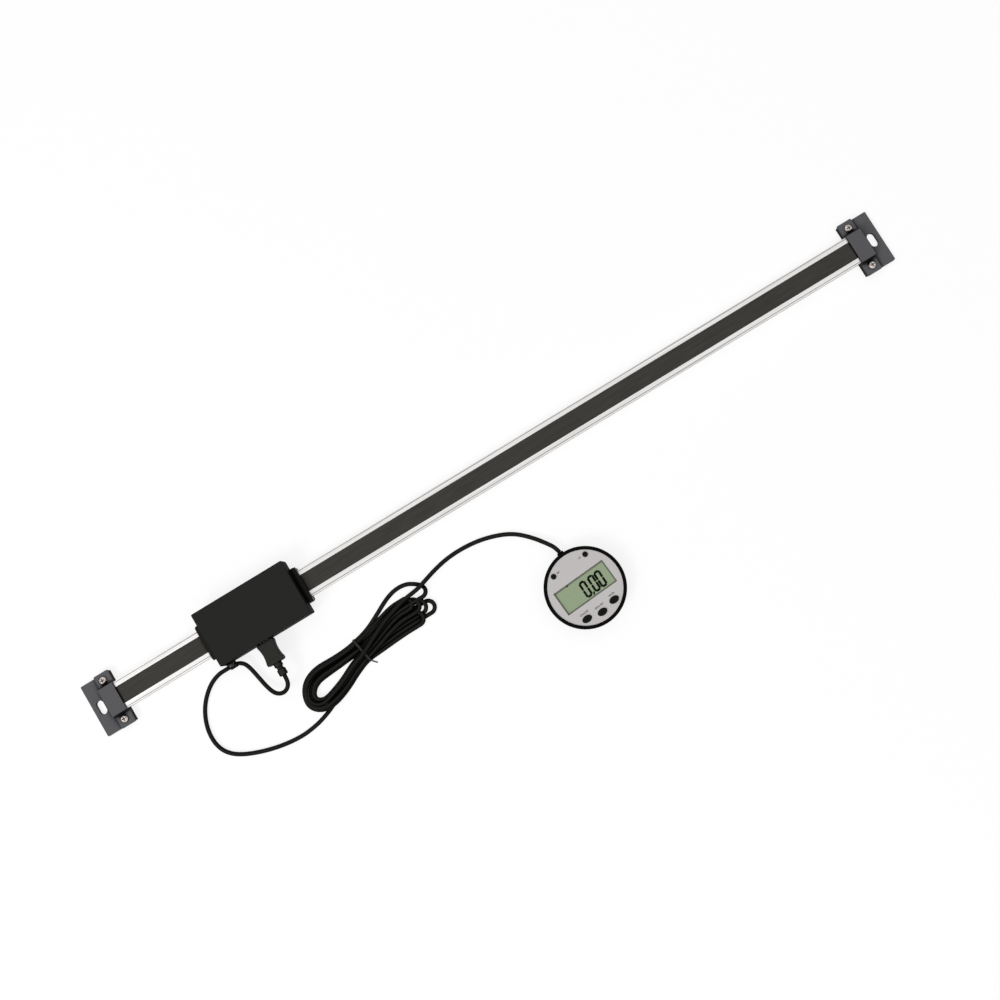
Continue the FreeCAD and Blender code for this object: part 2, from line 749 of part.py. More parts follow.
# End wipers follow the rail's section and are held by two sunk screws each
wiper = new_body("wiper_body")
pad(wiper, outline(wiper, "YZ_Plane", saddle(glide_tip), at=wiper_in), "wiper_thick")
wiper_face = number(wiper_out)
wiper_side = number(cheek_out)
fillet(
    wiper,
    "wiper_round",
    lambda b: near(b.XMin, wiper_face) and near(b.XMax, wiper_face)
    and near(abs(b.YMin), wiper_side) and near(b.YMin, b.YMax),
)
wiper_hole = rod(
    "wiper_hole",
    "x",
    wiper_fix_at,
    "tiny_shank + thread_gap",
    (wiper_in + " - over", wiper_out),
)
wiper_sink = rod(
    "wiper_sink",
    "x",
    wiper_fix_at,
    "tiny_head + seat_gap",
    (wiper_out + " - tiny_rise", wiper_out + " + over"),
)
wiper_cut = cut("wiper_cut", wiper, front_and_rear(wiper_hole) + front_and_rear(wiper_sink))
finish("wiper_left", mirrored(wiper_cut, FreeCAD.Vector(1, 0, 0)), "head")
finish("wiper_right", group("wiper_right_solid", [wiper_cut]), "head")
tiny = screw(
    "wiper_screw",
    "x",
    wiper_fix_at,
    "tiny_shank",
    wiper_in + " - tiny_reach",
    wiper_out + " - tiny_rise",
    "tiny_head",
    wiper_out,
)
finish("wiper_screws", group("wiper_screw_group", all_four(tiny)), "head")

# Head cover: shell open below, notched at both ends for the carriage
socket_z = "(%s + board_thick + socket_height / 2)" % deck_top
cover = new_body("cover_body")
plan = rectangle(both("cover_length / 2"), both(cover_half))
pad(cover, outline(cover, "XY_Plane", plan, at=cover_low), "cover_drop + cover_rise")
hollow_out(cover, "cover_wall", number(cover_low))
fillet(cover, "cover_round", lambda b: b.XLength < b.ZLength and b.YLength < b.ZLength)
roof = number(cover_top)
fillet(cover, "cover_edge", lambda b: near(b.ZMin, roof) and near(b.ZMax, roof))
notch = rectangle(both(cheek_out + " + run_gap"), (cover_low + " - over", deck_top + " + run_gap"))
pocket(cover, outline(cover, "YZ_Plane", notch), "cover_length + over", "Symmetric")
mouth = rectangle(
    about("plug_shift", "socket_width + 2 * run_gap"),
    about(socket_z, "socket_height + 2 * run_gap"),
)
pocket(cover, outline(cover, "XZ_Plane", mouth, at=cover_half), "cover_wall + over")
clip_x = "(clip_inset - cover_length / 2)"
clip_at = (clip_x, cover_low + " + clip_fix")
post = rod("cover_post", "z", post_at, "post_radius", (tray_top, cover_top + " - cover_wall / 2"))
clip_boss = rod(
    "clip_boss",
    "y",
    clip_at,
    "post_radius",
    ("cover_wall / 2 - " + cover_half, "clip_reach - " + cover_half),
)
post_tap = rod("post_tap", "z", post_at, "small_shank", (tray_top + " - over", tray_top + " + post_depth"))
clip_tap = rod(
    "clip_tap",
    "y",
    clip_at,
    "small_shank",
    ("-over - " + cover_half, "clip_reach - clip_tab - " + cover_half),
)
cover_blank = fuse("cover_blank", [cover, clip_boss] + all_four(post))
finish("head_cover", cut("cover_cut", cover_blank, all_four(post_tap) + [clip_tap]), "head")
cover_screw = turned(
    "cover_screw",
    "z",
    post_at,
    [
        ("0", cover_low + " + small_sink"),
        ("small_head", cover_low + " + small_sink"),
        ("small_head", cover_low + " + small_sink + small_rise"),
        ("small_shank - thread_gap", cover_low + " + small_sink + small_rise"),
        ("small_shank - thread_gap", tray_top + " + post_depth - run_gap"),
        ("0", tray_top + " + post_depth - run_gap"),
    ],
)
finish("cover_screws", group("cover_screw_group", all_four(cover_screw)), "head")

# Sensor plate, board and what stands on the board
sensor = block(
    "sensor",
    both("window_length / 2 - sensor_gap"),
    both("tape_width / 2 + window_side - sensor_gap"),
    (deck_low + " + seat_gap", deck_top),
)
finish("sensor_plate", sensor, "head")
board_top = "(%s + board_thick)" % deck_top
board_rise = (deck_top, board_top)
board_edge = "(%s - board_side)" % cheek_out
board = new_body("board_body")
tongue = about("plug_shift", "tongue_width")
tongue_end = "cover_wall + run_gap - " + cover_half
board_plan = [
    ("-" + board_end, board_edge),
    ("-" + board_end, "-" + board_edge),
    (tongue[0], "-" + board_edge),
    (tongue[0], tongue_end),
    (tongue[1], tongue_end),
    (tongue[1], "-" + board_edge),
    (board_end, "-" + board_edge),
    (board_end, board_edge),
]
pad(board, outline(board, "XY_Plane", board_plan, at=deck_top), "board_thick")
board_hole = rod("board_hole", "z", board_fix_at, "small_shank + seat_gap", board_rise)
finish("reader_board", cut("board_cut", board, all_four(board_hole)), "head")
board_screw = screw(
    "board_screw",
    "z",
    board_fix_at,
    "small_shank - thread_gap",
    deck_top + " - board_fix_depth + run_gap",
    board_top,
    "small_head",
    board_top + " + small_rise",
)
finish("board_screws", group("board_screw_group", all_four(board_screw)), "head")
chip_half = both("chip_size / 2")
components = [
    block("reader_chip", chip_half, chip_half, (board_top, board_top + " + chip_thick")),
    block(
        "crystal",
        ("chip_size", "chip_size + crystal_length"),
        both("crystal_width / 2"),
        (board_top, board_top + " + crystal_width"),
    ),
]
for word, place in (("front", "-capacitor_step"), ("middle", "0"), ("rear", "capacitor_step")):
    components.append(
        block(
            "capacitor_" + word,
            ("-chip_size - capacitor_length", "-chip_size"),
            about(place, "capacitor_width"),
            (board_top, board_top + " + capacitor_width"),
        )
    )
finish("board_components", group("board_component_group", components), "head")

# Socket on the board, plug tip in the socket, waisted grip and strain relief
socket_face = "(socket_sink - %s)" % cover_half
socket_back = socket_face + " + socket_depth"
can = block(
    "socket_can",
    about("plug_shift", "socket_width"),
    (socket_face, socket_back),
    (board_top, board_top + " + socket_height"),
)
cavity = block(
    "socket_cavity",
    about("plug_shift", "socket_width - 2 * socket_wall"),
    (socket_face + " - over", socket_back + " - socket_wall"),
    about(socket_z, "socket_height - 2 * socket_wall"),
)
contact = block(
    "socket_contact",
    about("plug_shift", "contact_width"),
    (socket_back + " - contact_length", socket_back),
    about(socket_z, "contact_thick"),
)
finish("plug_socket", fuse("socket_solid", [cut("socket_open", can, [cavity]), contact]), "head")

grip_face = "(-%s - plug_stand)" % cover_half
grip_end = "(-%s - plug_stand - plug_length)" % cover_half
tip_blank = block(
    "tip_blank",
    about("plug_shift", "tip_width"),
    (grip_face, grip_face + " + tip_length"),
    about(socket_z, "tip_height"),
)
tip_inside = block(
    "tip_inside",
    about("plug_shift", "tip_width - 2 * tip_wall"),
    (grip_face + " + tip_wall", grip_face + " + tip_length + over"),
    about(socket_z, "tip_height - 2 * tip_wall"),
)
finish("plug_tip", cut("tip_cut", tip_blank, [tip_inside]), "head")

waist_radius = "((waist_chord * waist_chord / 4 + waist_depth * waist_depth) / (2 * waist_depth))"
waist_off = "(plug_width / 2 - waist_depth + %s)" % waist_radius
grip_span = about(socket_z, "plug_height")
grip = new_body("grip_body")
grip_plan = rectangle(about("plug_shift", "plug_width"), (grip_end, grip_face))
pad(grip, outline(grip, "XY_Plane", grip_plan, at=grip_span[0]), "plug_height")
fillet(grip, "plug_round", lambda b: b.XLength < b.ZLength and b.YLength < b.ZLength)
waists = [
    rod(
        "waist_" + word,
        "z",
        ("plug_shift" + sign + waist_off, grip_face + " - plug_length / 2"),
        waist_radius,
        (grip_span[0] + " - over", grip_span[1] + " + over"),
    )
    for word, sign in (("left", " - "), ("right", " + "))
]
grip_levels = [number(level) for level in grip_span]
grip_soft = round_off(
    "grip_soft",
    cut("grip_waisted", grip, waists),
    "plug_edge",
    lambda b: near(b.ZMin, b.ZMax) and any(near(b.ZMin, level) for level in grip_levels),
)
finish("plug_grip", grip_soft, "head")

relief_start = "(%s + plug_stand + plug_length)" % cover_half
relief_a = relief_start + " + relief_first"
relief_b = relief_a + " + relief_gap"
relief_c = relief_b + " + relief_last"
relief = turned(
    "relief_body",
    "-y",
    ("plug_shift", socket_z),
    [
        ("0", relief_start),
        ("relief_radius", relief_start),
        ("relief_radius", relief_a + " - relief_bevel"),
        ("relief_radius - relief_bevel", relief_a),
        ("relief_neck", relief_a),
        ("relief_neck", relief_b),
        ("relief_radius - relief_bevel", relief_b),
        ("relief_radius", relief_b + " + relief_bevel"),
        ("relief_radius", relief_c + " - relief_bevel"),
        ("relief_radius - relief_bevel", relief_c),
        ("0", relief_c),
    ],
)
finish("plug_strain_relief", relief, "head")

# Clip that holds the lead against the cover
clip_outer = "(cable_radius + clip_band)"
clip_y = "(-%s - %s)" % (cover_half, clip_outer)
clip_z = "(%s + clip_lead)" % cover_low
clip_seat = "(-%s - clip_tab)" % cover_half
clip_span = about(clip_x, "clip_width")
loop = rod("clip_loop", "x", (clip_y, clip_z), clip_outer, clip_span)
tab = block("clip_tab_plate", clip_span, (clip_seat, "-" + cover_half), (clip_z, cover_low + " + clip_tall"))
lead_way = rod("clip_lead_way", "x", (clip_y, clip_z), "cable_radius", about(clip_x, "2 * clip_width"))
clip_hole = rod("clip_hole", "y", clip_at, "small_hole", (clip_seat + " - over", "over - " + cover_half))
finish("cable_clip", cut("clip_cut", fuse("clip_blank", [loop, tab]), [lead_way, clip_hole]), "head")
clip_out = "(%s + clip_tab)" % cover_half
clip_screw = screw(
    "clip_screw",
    "-y",
    clip_at,
    "small_shank - thread_gap",
    clip_out + " - clip_reach",
    clip_out,
    "clip_head",
    clip_out + " + clip_rise",
    clip_out + " + clip_rim",
    "clip_crown",
)
cross_recess(clip_screw, clip_out + " + clip_rise", "clip_sink")
finish("cable_clip_screw", clip_screw, "head")


# Lead: straight runs joined by tangent arcs, as it lies on the table
ARC_SHARE = 0.45


def lead(label, points):
    spots = [FreeCAD.Vector(*p) for p in points]
    edges = []
    radii = []
    start = spots[0]
    for before, corner, after in zip(spots, spots[1:], spots[2:]):
        inward = (corner - before).normalize()
        outward = (after - corner).normalize()
        half = inward.getAngle(outward) / 2
        reach = ARC_SHARE * min((corner - before).Length, (after - corner).Length)
        bend = reach / math.tan(half)
        side = (outward - inward).normalize()
        enter = corner - inward * reach
        leave = corner + outward * reach
        middle = corner + side * (bend / math.cos(half) - bend)
        edges.append(Part.LineSegment(start, enter).toShape())
        edges.append(Part.Arc(enter, middle, leave).toShape())
        radii.append(bend)
        start = leave
    edges.append(Part.LineSegment(start, spots[-1]).toShape())
    path = Part.Wire(edges)
    circle = Part.makeCircle(value("cable_radius"), spots[0], spots[1] - spots[0])
    obj = doc.addObject("Part::Feature", label)
    obj.Shape = path.makePipeShell([Part.Wire([circle])], True, False)
    obj.Placement = FreeCAD.Placement()
    obj.Label = label
    pieces[label] = obj
    due = math.pi * value("cable_radius") ** 2 * path.Length
    print(label, "length", round(path.Length, 1), "volume share", round(obj.Shape.Volume / due, 4))
    print(label, "radii", [round(r, 1) for r in radii])


plug_at = number("head_x + plug_shift")
plug_end = -number(relief_c)
plug_level = number(socket_z)
clip_mid = number("head_x + " + clip_x)
clip_line = number(clip_y)
clip_level = number(clip_z)
lying = value("cable_radius")
lead(
    "cable_lead",
    [
        (plug_at, plug_end, plug_level),
        (plug_at, plug_end - value("lead_out"), plug_level),
        (125.4, -57.6, 13.6),
        (121.0, -59.4, 10.9),
        (116.2, -58.4, 8.2),
        (112.4, -54.4, 6.0),
        (110.1, -47.4, 4.2),
        (108.5, -38.8, 3.6),
        (107.0, -30.4, 5.0),
        (104.9, -25.9, 6.7),
        (clip_mid + value("clip_before"), clip_line, clip_level),
        (clip_mid - value("clip_after"), clip_line, clip_level),
        (84.5, -23.4, 4.6),
        (74.0, -27.6, 2.0),
        (63.6, -38.2, lying),
        (57.6, -52.6, lying),
        (57.4, -66.6, lying),
        (63.2, -76.8, lying),
        (75.4, -84.0, lying),
        (94.0, -90.0, lying),
        (113.0, -92.6, lying),
        (130.0, -90.4, lying),
        (138.4, -86.0, lying),
    ],
)

# Hank: the tied bundle of lead, drawn round its outside, with the open eye at its left end
HANK_EDGE = [
    (128.2, -75.4), (133.0, -61.5), (148.8, -54.4), (174.0, -54.2),
    (190.4, -50.6), (208.8, -43.2), (225.0, -37.6), (237.0, -40.2),
    (242.8, -48.5), (242.6, -60.5), (233.0, -68.3), (208.0, -67.6),
    (185.2, -71.0), (165.4, -79.4), (146.0, -86.8), (132.5, -83.5),
]
HANK_EYE = [(139.4, -72.6), (148.2, -67.0), (170.0, -64.2), (158.0, -72.2), (146.2, -76.2)]


def prism(points):
    curve = Part.BSplineCurve()
    curve.interpolate([FreeCAD.Vector(x, y, 0) for x, y in points], PeriodicFlag=True)
    face = Part.Face(Part.Wire([curve.toShape()]))
    return face.extrude(FreeCAD.Vector(0, 0, value("hank_height")))


hank_blank = doc.addObject("Part::Feature", "hank_blank")
hank_blank.Shape = prism(HANK_EDGE).cut(prism(HANK_EYE))

tie_top = "(hank_height + tie_proud)"
tie_half = "tie_span / 2"
tie_outer = block("tie_outer", both("tie_width / 2"), both(tie_half), ("0", tie_top))
tie_inner = block(
    "tie_inner",
    both("tie_width"),
    both(tie_half + " - tie_thick"),
    ("tie_thick", tie_top + " - tie_thick"),
)
tie_crest = number(tie_top)
tie_bent = round_off(
    "tie_bent",
    tie_outer,
    "tie_round",
    lambda b: near(b.ZMin, tie_crest) and near(b.ZMax, tie_crest) and b.YLength < b.XLength,
)
tie_tail = rod(
    "tie_tail_rod",
    "y",
    ("0", "tie_tail_radius"),
    "tie_tail_radius",
    ("-tie_span / 2 - tie_tail", "-tie_span / 2 + tie_thick / 2"),
)
tie = finish("hank_tie", fuse("tie_solid", [cut("tie_band", tie_bent, [tie_inner]), tie_tail]), "tie")
hank = cut("hank_cut", hank_blank, [tie])
hank.Label = "cable_hank"
pieces["cable_hank"] = hank

# Display: turned housing with face seat, battery opening, posts and pockets
display_radius = "(lcd_length / 2 + lcd_side)"
inner_radius = "(%s - case_wall)" % display_radius
seat_radius = "(%s - rim_width)" % display_radius
face_top = "(display_height - face_sink)"
face_level = "(display_height - face_sink - face_thick)"
holder_in = "(cell_radius + run_gap)"
holder_out = "(cell_radius + run_gap + holder_wall)"
door_neck = "(%s + seat_gap)" % holder_out
door_radius = "(%s + door_step)" % door_neck
lcd_top = "(%s - lip_thick)" % face_level
lcd_low = "(%s - panel_thick)" % lcd_top
circuit_top = "(%s - strip_height)" % lcd_low
circuit_low = "(%s - board_thick)" % circuit_top
circuit_radius = "(%s - circuit_room)" % inner_radius
housing = turned(
    "housing_body",
    "z",
    ("0", "0"),
    [
        (door_radius + " + seat_gap", "0"),
        (display_radius + " - foot_bevel", "0"),
        (display_radius, "foot_bevel"),
        (display_radius, "display_height - rim_bevel"),
        (display_radius + " - rim_bevel", "display_height"),
        (seat_radius, "display_height"),
        (seat_radius, face_level),
        (inner_radius, face_level),
        (inner_radius, "case_floor"),
        (door_neck + " + seat_gap", "case_floor"),
        (door_neck + " + seat_gap", "door_thick"),
        (door_radius + " + seat_gap", "door_thick"),
    ],
)
case_fixes = {
    "high": (inner_radius + " - case_high_inset", "case_high_y"),
    "low": (inner_radius + " - case_low_inset", "case_low_y"),
}
case_posts = []
case_taps = []
case_screws = []
circuit_holes = []
for word, at in case_fixes.items():
    post = rod("case_post_" + word, "z", at, "case_post", ("case_floor - seat_gap", circuit_low))
    tap = rod("case_tap_" + word, "z", at, "small_shank", ("case_floor + seat_gap", circuit_low + " + over"))
    hole = rod("circuit_hole_" + word, "z", at, "small_shank + seat_gap", (circuit_low, circuit_top))
    fixing = screw(
        "case_screw_" + word,
        "z",
        at,
        "small_shank - thread_gap",
        "case_floor + 2 * seat_gap",
        circuit_top,
        "small_head",
        circuit_top + " + small_rise",
    )
    case_posts += left_and_right(post)
    case_taps += left_and_right(tap)
    circuit_holes += left_and_right(hole)
    case_screws += left_and_right(fixing)
magnet_at = (door_radius + " + magnet_gap + magnet_radius", "0")
magnet_pocket = rod("magnet_pocket", "z", magnet_at, "magnet_radius + thread_gap", ("-over", "magnet_thick"))
entry_from = "(%s - notch_depth)" % circuit_radius
entry_span = (entry_from, display_radius + " + over")
entry = rod("case_entry", "y", ("0", "entry_level"), "grommet_radius", entry_span)
case_cuts = case_taps + left_and_right(magnet_pocket) + [entry]
finish("display_housing", cut("case_cut", fuse("case_blank", [housing] + case_posts), case_cuts), "display")
magnet = rod("magnet", "z", magnet_at, "magnet_radius", ("0", "magnet_thick"))
finish("display_magnets", group("magnet_group", left_and_right(magnet)), "display")

# Battery: screw-in cover with a coin slot, cell between its contact leaves, holder ring
door = turned(
    "door_body",
    "z",
    ("0", "0"),
    [
        ("0", "0"),
        (door_radius, "0"),
        (door_radius, "door_thick"),
        (door_neck, "door_thick"),
        (door_neck, "case_floor"),
        ("0", "case_floor"),
    ],
)
coin = block("coin_slot", both("coin_length / 2"), both("coin_width / 2"), ("-over", "coin_depth"))
finish("battery_cover", cut("door_cut", door, [coin]), "display")
cell_low = "(case_floor + contact_leaf)"
cell_top = "(case_floor + contact_leaf + cell_thick)"
cell = turned(
    "cell_body",
    "z",
    ("0", "0"),
    [
        ("0", cell_low),
        ("cell_radius - cell_bevel", cell_low),
        ("cell_radius", cell_low + " + cell_bevel"),
        ("cell_radius", cell_top),
        ("0", cell_top),
    ],
)
finish("coin_cell", cell, "display")
leaf_plan = (both("leaf_length / 2"), both("leaf_width / 2"))
leaves = [
    block("leaf_low", leaf_plan[0], leaf_plan[1], ("case_floor", cell_low)),
    block("leaf_high", leaf_plan[0], leaf_plan[1], (cell_top, circuit_low)),
]
finish("battery_contacts", group("leaf_group", leaves), "display")
holder = turned(
    "holder_body",
    "z",
    ("0", "0"),
    rectangle((holder_in, holder_out), ("case_floor + seat_gap", circuit_low)),
)
finish("battery_holder", holder, "display")

# Board, LCD and its window
circuit = rod("circuit_disc", "z", ("0", "0"), circuit_radius, (circuit_low, circuit_top))
circuit_notch = block(
    "circuit_notch",
    both("notch_width / 2"),
    (entry_from, display_radius),
    (circuit_low, circuit_top),
)
finish("display_board", cut("circuit_cut", circuit, circuit_holes + [circuit_notch]), "display")
finish("display_screws", group("case_screw_group", case_screws), "display")
panel_edge = "(lcd_width / 2 + panel_side)"
strip = block(
    "strip",
    both("lcd_length / 2 - strip_inset"),
    (panel_edge + " - strip_width", panel_edge),
    (circuit_top, lcd_low),
)
finish("elastomer_strips", group("strip_group", front_and_rear(strip)), "display")
panel = block("panel", both("lcd_length / 2 + panel_side"), both(panel_edge), (lcd_low, lcd_top))
finish("lcd_panel", panel, "display")
pane = block(
    "glass_pane",
    both("lcd_length / 2 - seat_gap"),
    both("lcd_width / 2 - seat_gap"),
    (lcd_top, face_top + " - window_sink"),
)
pane_lip = block(
    "glass_lip",
    both("lcd_length / 2 + window_lip"),
    both("lcd_width / 2 + window_lip"),
    (lcd_top, face_level),
)
finish("lcd_window", fuse("glass_solid", [pane, pane_lip]), "display")

# Face plate, buttons and the key switches below them
face_rise = (face_level, face_top)
oval_y = "(oval_edge - %s)" % display_radius
ovals = [
    ("oval_left", ("-oval_x", oval_y)),
    ("oval_middle", ("0", "(middle_edge - %s)" % display_radius)),
    ("oval_right", ("oval_x", oval_y)),
]
dot_y = "(%s - dot_edge)" % display_radius
dots = [("round_left", ("-dot_x", dot_y)), ("round_right", ("dot_x", dot_y))]
face_holes = [block("face_window", both("lcd_length / 2"), both("lcd_width / 2"), face_rise)]
for word, at in ovals:
    face_holes.append(
        oval("face_hole_" + word, at, "oval_length + 2 * run_gap", "oval_width + 2 * run_gap", face_rise)
    )
for word, at in dots:
    face_holes.append(rod("face_hole_" + word, "z", at, "dot_radius + run_gap", face_rise))
face_disc = rod("face_disc", "z", ("0", "0"), seat_radius + " - seat_gap", face_rise)
finish("face_plate", cut("face_cut", face_disc, face_holes), "display")

lip_top = "(%s - button_play)" % face_level
lip_low = "(%s - button_play - button_lip_thick)" % face_level
stem_low = "(%s + key_height + button_travel)" % circuit_top
oval_top = face_top + " + button_rise"
oval_crest = number(oval_top)
for word, at in ovals:
    cap = oval("cap_" + word, at, "oval_length", "oval_width", (lip_low, oval_top))
    doc.recompute()
    crown = doc.addObject("Part::Chamfer", "crown_" + word)
    crown.Base = cap
    bevel = value("button_bevel")
    rim = edges_of(cap.Shape, lambda b: near(b.ZMin, oval_crest) and near(b.ZMax, oval_crest))
    crown.Edges = [(i, bevel, bevel) for i in rim]
    lip = oval(
        "lip_" + word,
        at,
        "oval_length + 2 * button_lip",
        "oval_width + 2 * button_lip",
        (lip_low, lip_top),
    )
    stem = rod("stem_" + word, "z", at, "button_stem", (stem_low, lip_low))
    finish("button_" + word, fuse("button_solid_" + word, [crown, lip, stem]), "display")
dot_top = face_top + " + dot_rise"
for word, at in dots:
    dot = turned(
        "button_body_" + word,
        "z",
        at,
        [
            ("0", stem_low),
            ("button_stem", stem_low),
            ("button_stem", lip_low),
            ("dot_radius + dot_lip", lip_low),
            ("dot_radius + dot_lip", lip_top),
            ("dot_radius", lip_top),
            ("dot_radius", dot_top + " - dot_bevel"),
            ("dot_radius - dot_bevel", dot_top),
            ("0", dot_top),
        ],
    )
    finish("button_" + word, dot, "display")
switch_span = (circuit_top, circuit_top + " + key_height")
switches = [
    block("switch_" + word, about(x, "key_size"), about(y, "key_size"), switch_span)
    for word, (x, y) in ovals + dots
]
finish("key_switches", group("switch_group", switches), "display")

# Grommet in the display wall and the last stretch of lead
flange_face = "(%s - grommet_lip_thick)" % inner_radius
grommet_end = "(%s + grommet_out)" % display_radius
grommet = turned(
    "grommet_body",
    "y",
    ("0", "entry_level"),
    [
        ("0", flange_face),
        ("grommet_lip", flange_face),
        ("grommet_lip", inner_radius + " - grommet_lip_thick / 2"),
        ("grommet_radius", inner_radius + " - grommet_lip_thick / 2"),
        ("grommet_radius", grommet_end + " - grommet_bevel"),
        ("grommet_radius - grommet_bevel", grommet_end),
        ("0", grommet_end),
    ],
)
finish("cable_grommet", grommet, "display")
tilt = math.radians(value("display_turn"))
reach = number(grommet_end)
entry_level = value("entry_level")


def from_display(out, level):
    x = value("display_x") - math.sin(tilt) * out
    y = value("display_y") + math.cos(tilt) * out
    return (x, y, level)


lead(
    "cable_tail",
    [
        (239.4, -45.4, lying),
        (252.5, -39.2, lying),
        (268.5, -34.4, lying),
        (284.6, -32.9, lying),
        (300.6, -36.0, lying),
        (316.6, -44.4, lying),
        (328.0, -55.8, 2.4),
        (336.4, -66.4, 4.6),
        from_display(reach + value("tail_out"), entry_level),
        from_display(reach, entry_level),
    ],
)

doc.recompute()

# Every piece is checked before it is written
for obj in doc.Objects:
    if "Invalid" in obj.State or "Error" in obj.State:
        raise RuntimeError("%s is %s" % (obj.Name, obj.State))
    if obj.TypeId == "PartDesign::Pocket" and obj.Shape.Volume >= obj.BaseFeature.Shape.Volume:
        raise RuntimeError("%s cuts nothing" % obj.Name)
for label, obj in pieces.items():
    shape = obj.Shape
    if shape.isNull() or not shape.isValid() or shape.Volume <= 0:
        raise RuntimeError("%s has no sound shape" % label)
os.makedirs("parts", exist_ok=True)
for label, obj in pieces.items():
    obj.Shape.exportStep("parts/" + label + ".step")
print(len(pieces), "pieces")
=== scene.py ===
import json
import math

import bmesh
import bpy
from mathutils import Matrix, Vector


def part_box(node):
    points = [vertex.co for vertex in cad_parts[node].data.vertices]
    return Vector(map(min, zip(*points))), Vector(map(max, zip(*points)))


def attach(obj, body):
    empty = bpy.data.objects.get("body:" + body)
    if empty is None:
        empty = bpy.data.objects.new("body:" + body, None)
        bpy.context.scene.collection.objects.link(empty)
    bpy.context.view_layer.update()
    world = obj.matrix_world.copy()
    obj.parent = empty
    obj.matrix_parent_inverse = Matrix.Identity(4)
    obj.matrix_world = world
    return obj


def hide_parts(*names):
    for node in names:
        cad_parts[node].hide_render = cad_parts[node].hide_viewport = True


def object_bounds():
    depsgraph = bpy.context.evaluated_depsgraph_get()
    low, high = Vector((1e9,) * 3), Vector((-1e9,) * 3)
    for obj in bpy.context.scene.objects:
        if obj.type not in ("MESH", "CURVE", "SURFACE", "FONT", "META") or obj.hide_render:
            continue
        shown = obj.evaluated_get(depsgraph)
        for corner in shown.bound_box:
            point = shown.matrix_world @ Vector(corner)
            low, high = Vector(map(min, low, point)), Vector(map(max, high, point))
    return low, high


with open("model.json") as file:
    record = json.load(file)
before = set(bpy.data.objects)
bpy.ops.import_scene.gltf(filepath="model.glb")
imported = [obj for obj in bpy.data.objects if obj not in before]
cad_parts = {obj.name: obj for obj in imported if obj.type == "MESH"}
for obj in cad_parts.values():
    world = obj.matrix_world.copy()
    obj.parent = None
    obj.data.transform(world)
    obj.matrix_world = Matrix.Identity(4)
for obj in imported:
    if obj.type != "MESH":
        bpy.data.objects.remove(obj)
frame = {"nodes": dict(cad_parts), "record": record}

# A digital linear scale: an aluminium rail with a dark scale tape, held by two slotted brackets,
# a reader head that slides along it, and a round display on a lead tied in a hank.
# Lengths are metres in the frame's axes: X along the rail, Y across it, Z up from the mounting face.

MM = 0.001
QUARTER_TURN = math.radians(90)
CAD_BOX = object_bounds()

# Camera at the photograph's viewing angle
CAMERA_PLACE = (0.319211, -0.114827, 1.010251)
CAMERA_RIGHT = (0.8548742, -0.5168679, -0.0451417)
CAMERA_UP = (0.5188241, 0.8510397, 0.0809501)
LENS_MM = 50.617
SENSOR_MM = 36.0

# Signal cable, from the plug at the reader head to the hank, and from the hank to the display
CABLE_RADIUS = 1.6 * MM
CABLE_ROUNDNESS = 4
CABLE_ORDER = 3
CABLE_STEPS = 6
LEAD = (
    (0.12775, -0.0490, 0.01545),
    (0.12775, -0.0526, 0.01545),
    (0.1264, -0.0566, 0.0146),
    (0.1227, -0.0592, 0.0126),
    (0.1178, -0.0590, 0.0102),
    (0.1136, -0.0558, 0.0076),
    (0.1108, -0.0492, 0.0053),
    (0.1088, -0.0404, 0.0039),
    (0.1070, -0.0304, 0.0050),
    (0.1049, -0.0259, 0.0067),
    (0.1010, -0.02375, 0.0082),
    (0.0932, -0.02375, 0.0082),
    (0.0845, -0.0234, 0.0046),
    (0.0740, -0.0276, 0.0020),
    (0.0636, -0.0382, 0.0016),
    (0.0576, -0.0526, 0.0016),
    (0.0574, -0.0666, 0.0016),
    (0.0632, -0.0768, 0.0016),
    (0.0754, -0.0840, 0.0016),
    (0.0940, -0.0900, 0.0016),
    (0.1130, -0.0926, 0.0016),
    (0.1270, -0.0910, 0.0016),
)
TAIL = (
    (0.2394, -0.0454, 0.0064),
    (0.2464, -0.0431, 0.0056),
    (0.2563, -0.0397, 0.0020),
    (0.2693, -0.0370, 0.0016),
    (0.2850, -0.0368, 0.0016),
    (0.3008, -0.0393, 0.0016),
    (0.3174, -0.0457, 0.0016),
    (0.3284, -0.0561, 0.0026),
    (0.3358, -0.0663, 0.0047),
    (0.3388, -0.0713, 0.0056),
    (0.339668, -0.075587, 0.0056),
)

# Hank: the lead goes in under the left fold, out by the lower run and back by the upper run, six times.
# Its strands lie in a low and a high layer, and the last one leaves over their top.
LOW = CABLE_RADIUS
HIGH = 4.4 * MM
TOP = 7.2 * MM
ENTRY = (
    (0.1345, -0.0889, LOW),
    (0.1420, -0.0862, LOW),
    (0.1500, -0.0824, LOW),
)
EYE = Vector((0.1447, -0.0709))
# Outer edge of the left fold, and how far its outer strands ride up over the lead
LEFT_FOLD = (
    (0.1483, -0.0541, 0.0),
    (0.1373, -0.0571, 0.0),
    (0.1300, -0.0641, 0.0),
    (0.1269, -0.0740, 0.0),
    (0.1296, -0.0812, 1.4 * MM),
    (0.1366, -0.0863, 3.2 * MM),
    (0.1476, -0.0868, 3.2 * MM),
)
OUTER_RANK = 1
# A strand on its way to an inner rank stays out until late in the fold, by this power
INWARD_DELAY = 4
EDGE_TO_STRAND = 1.65 * MM
HALF_PITCH = 1.55 * MM
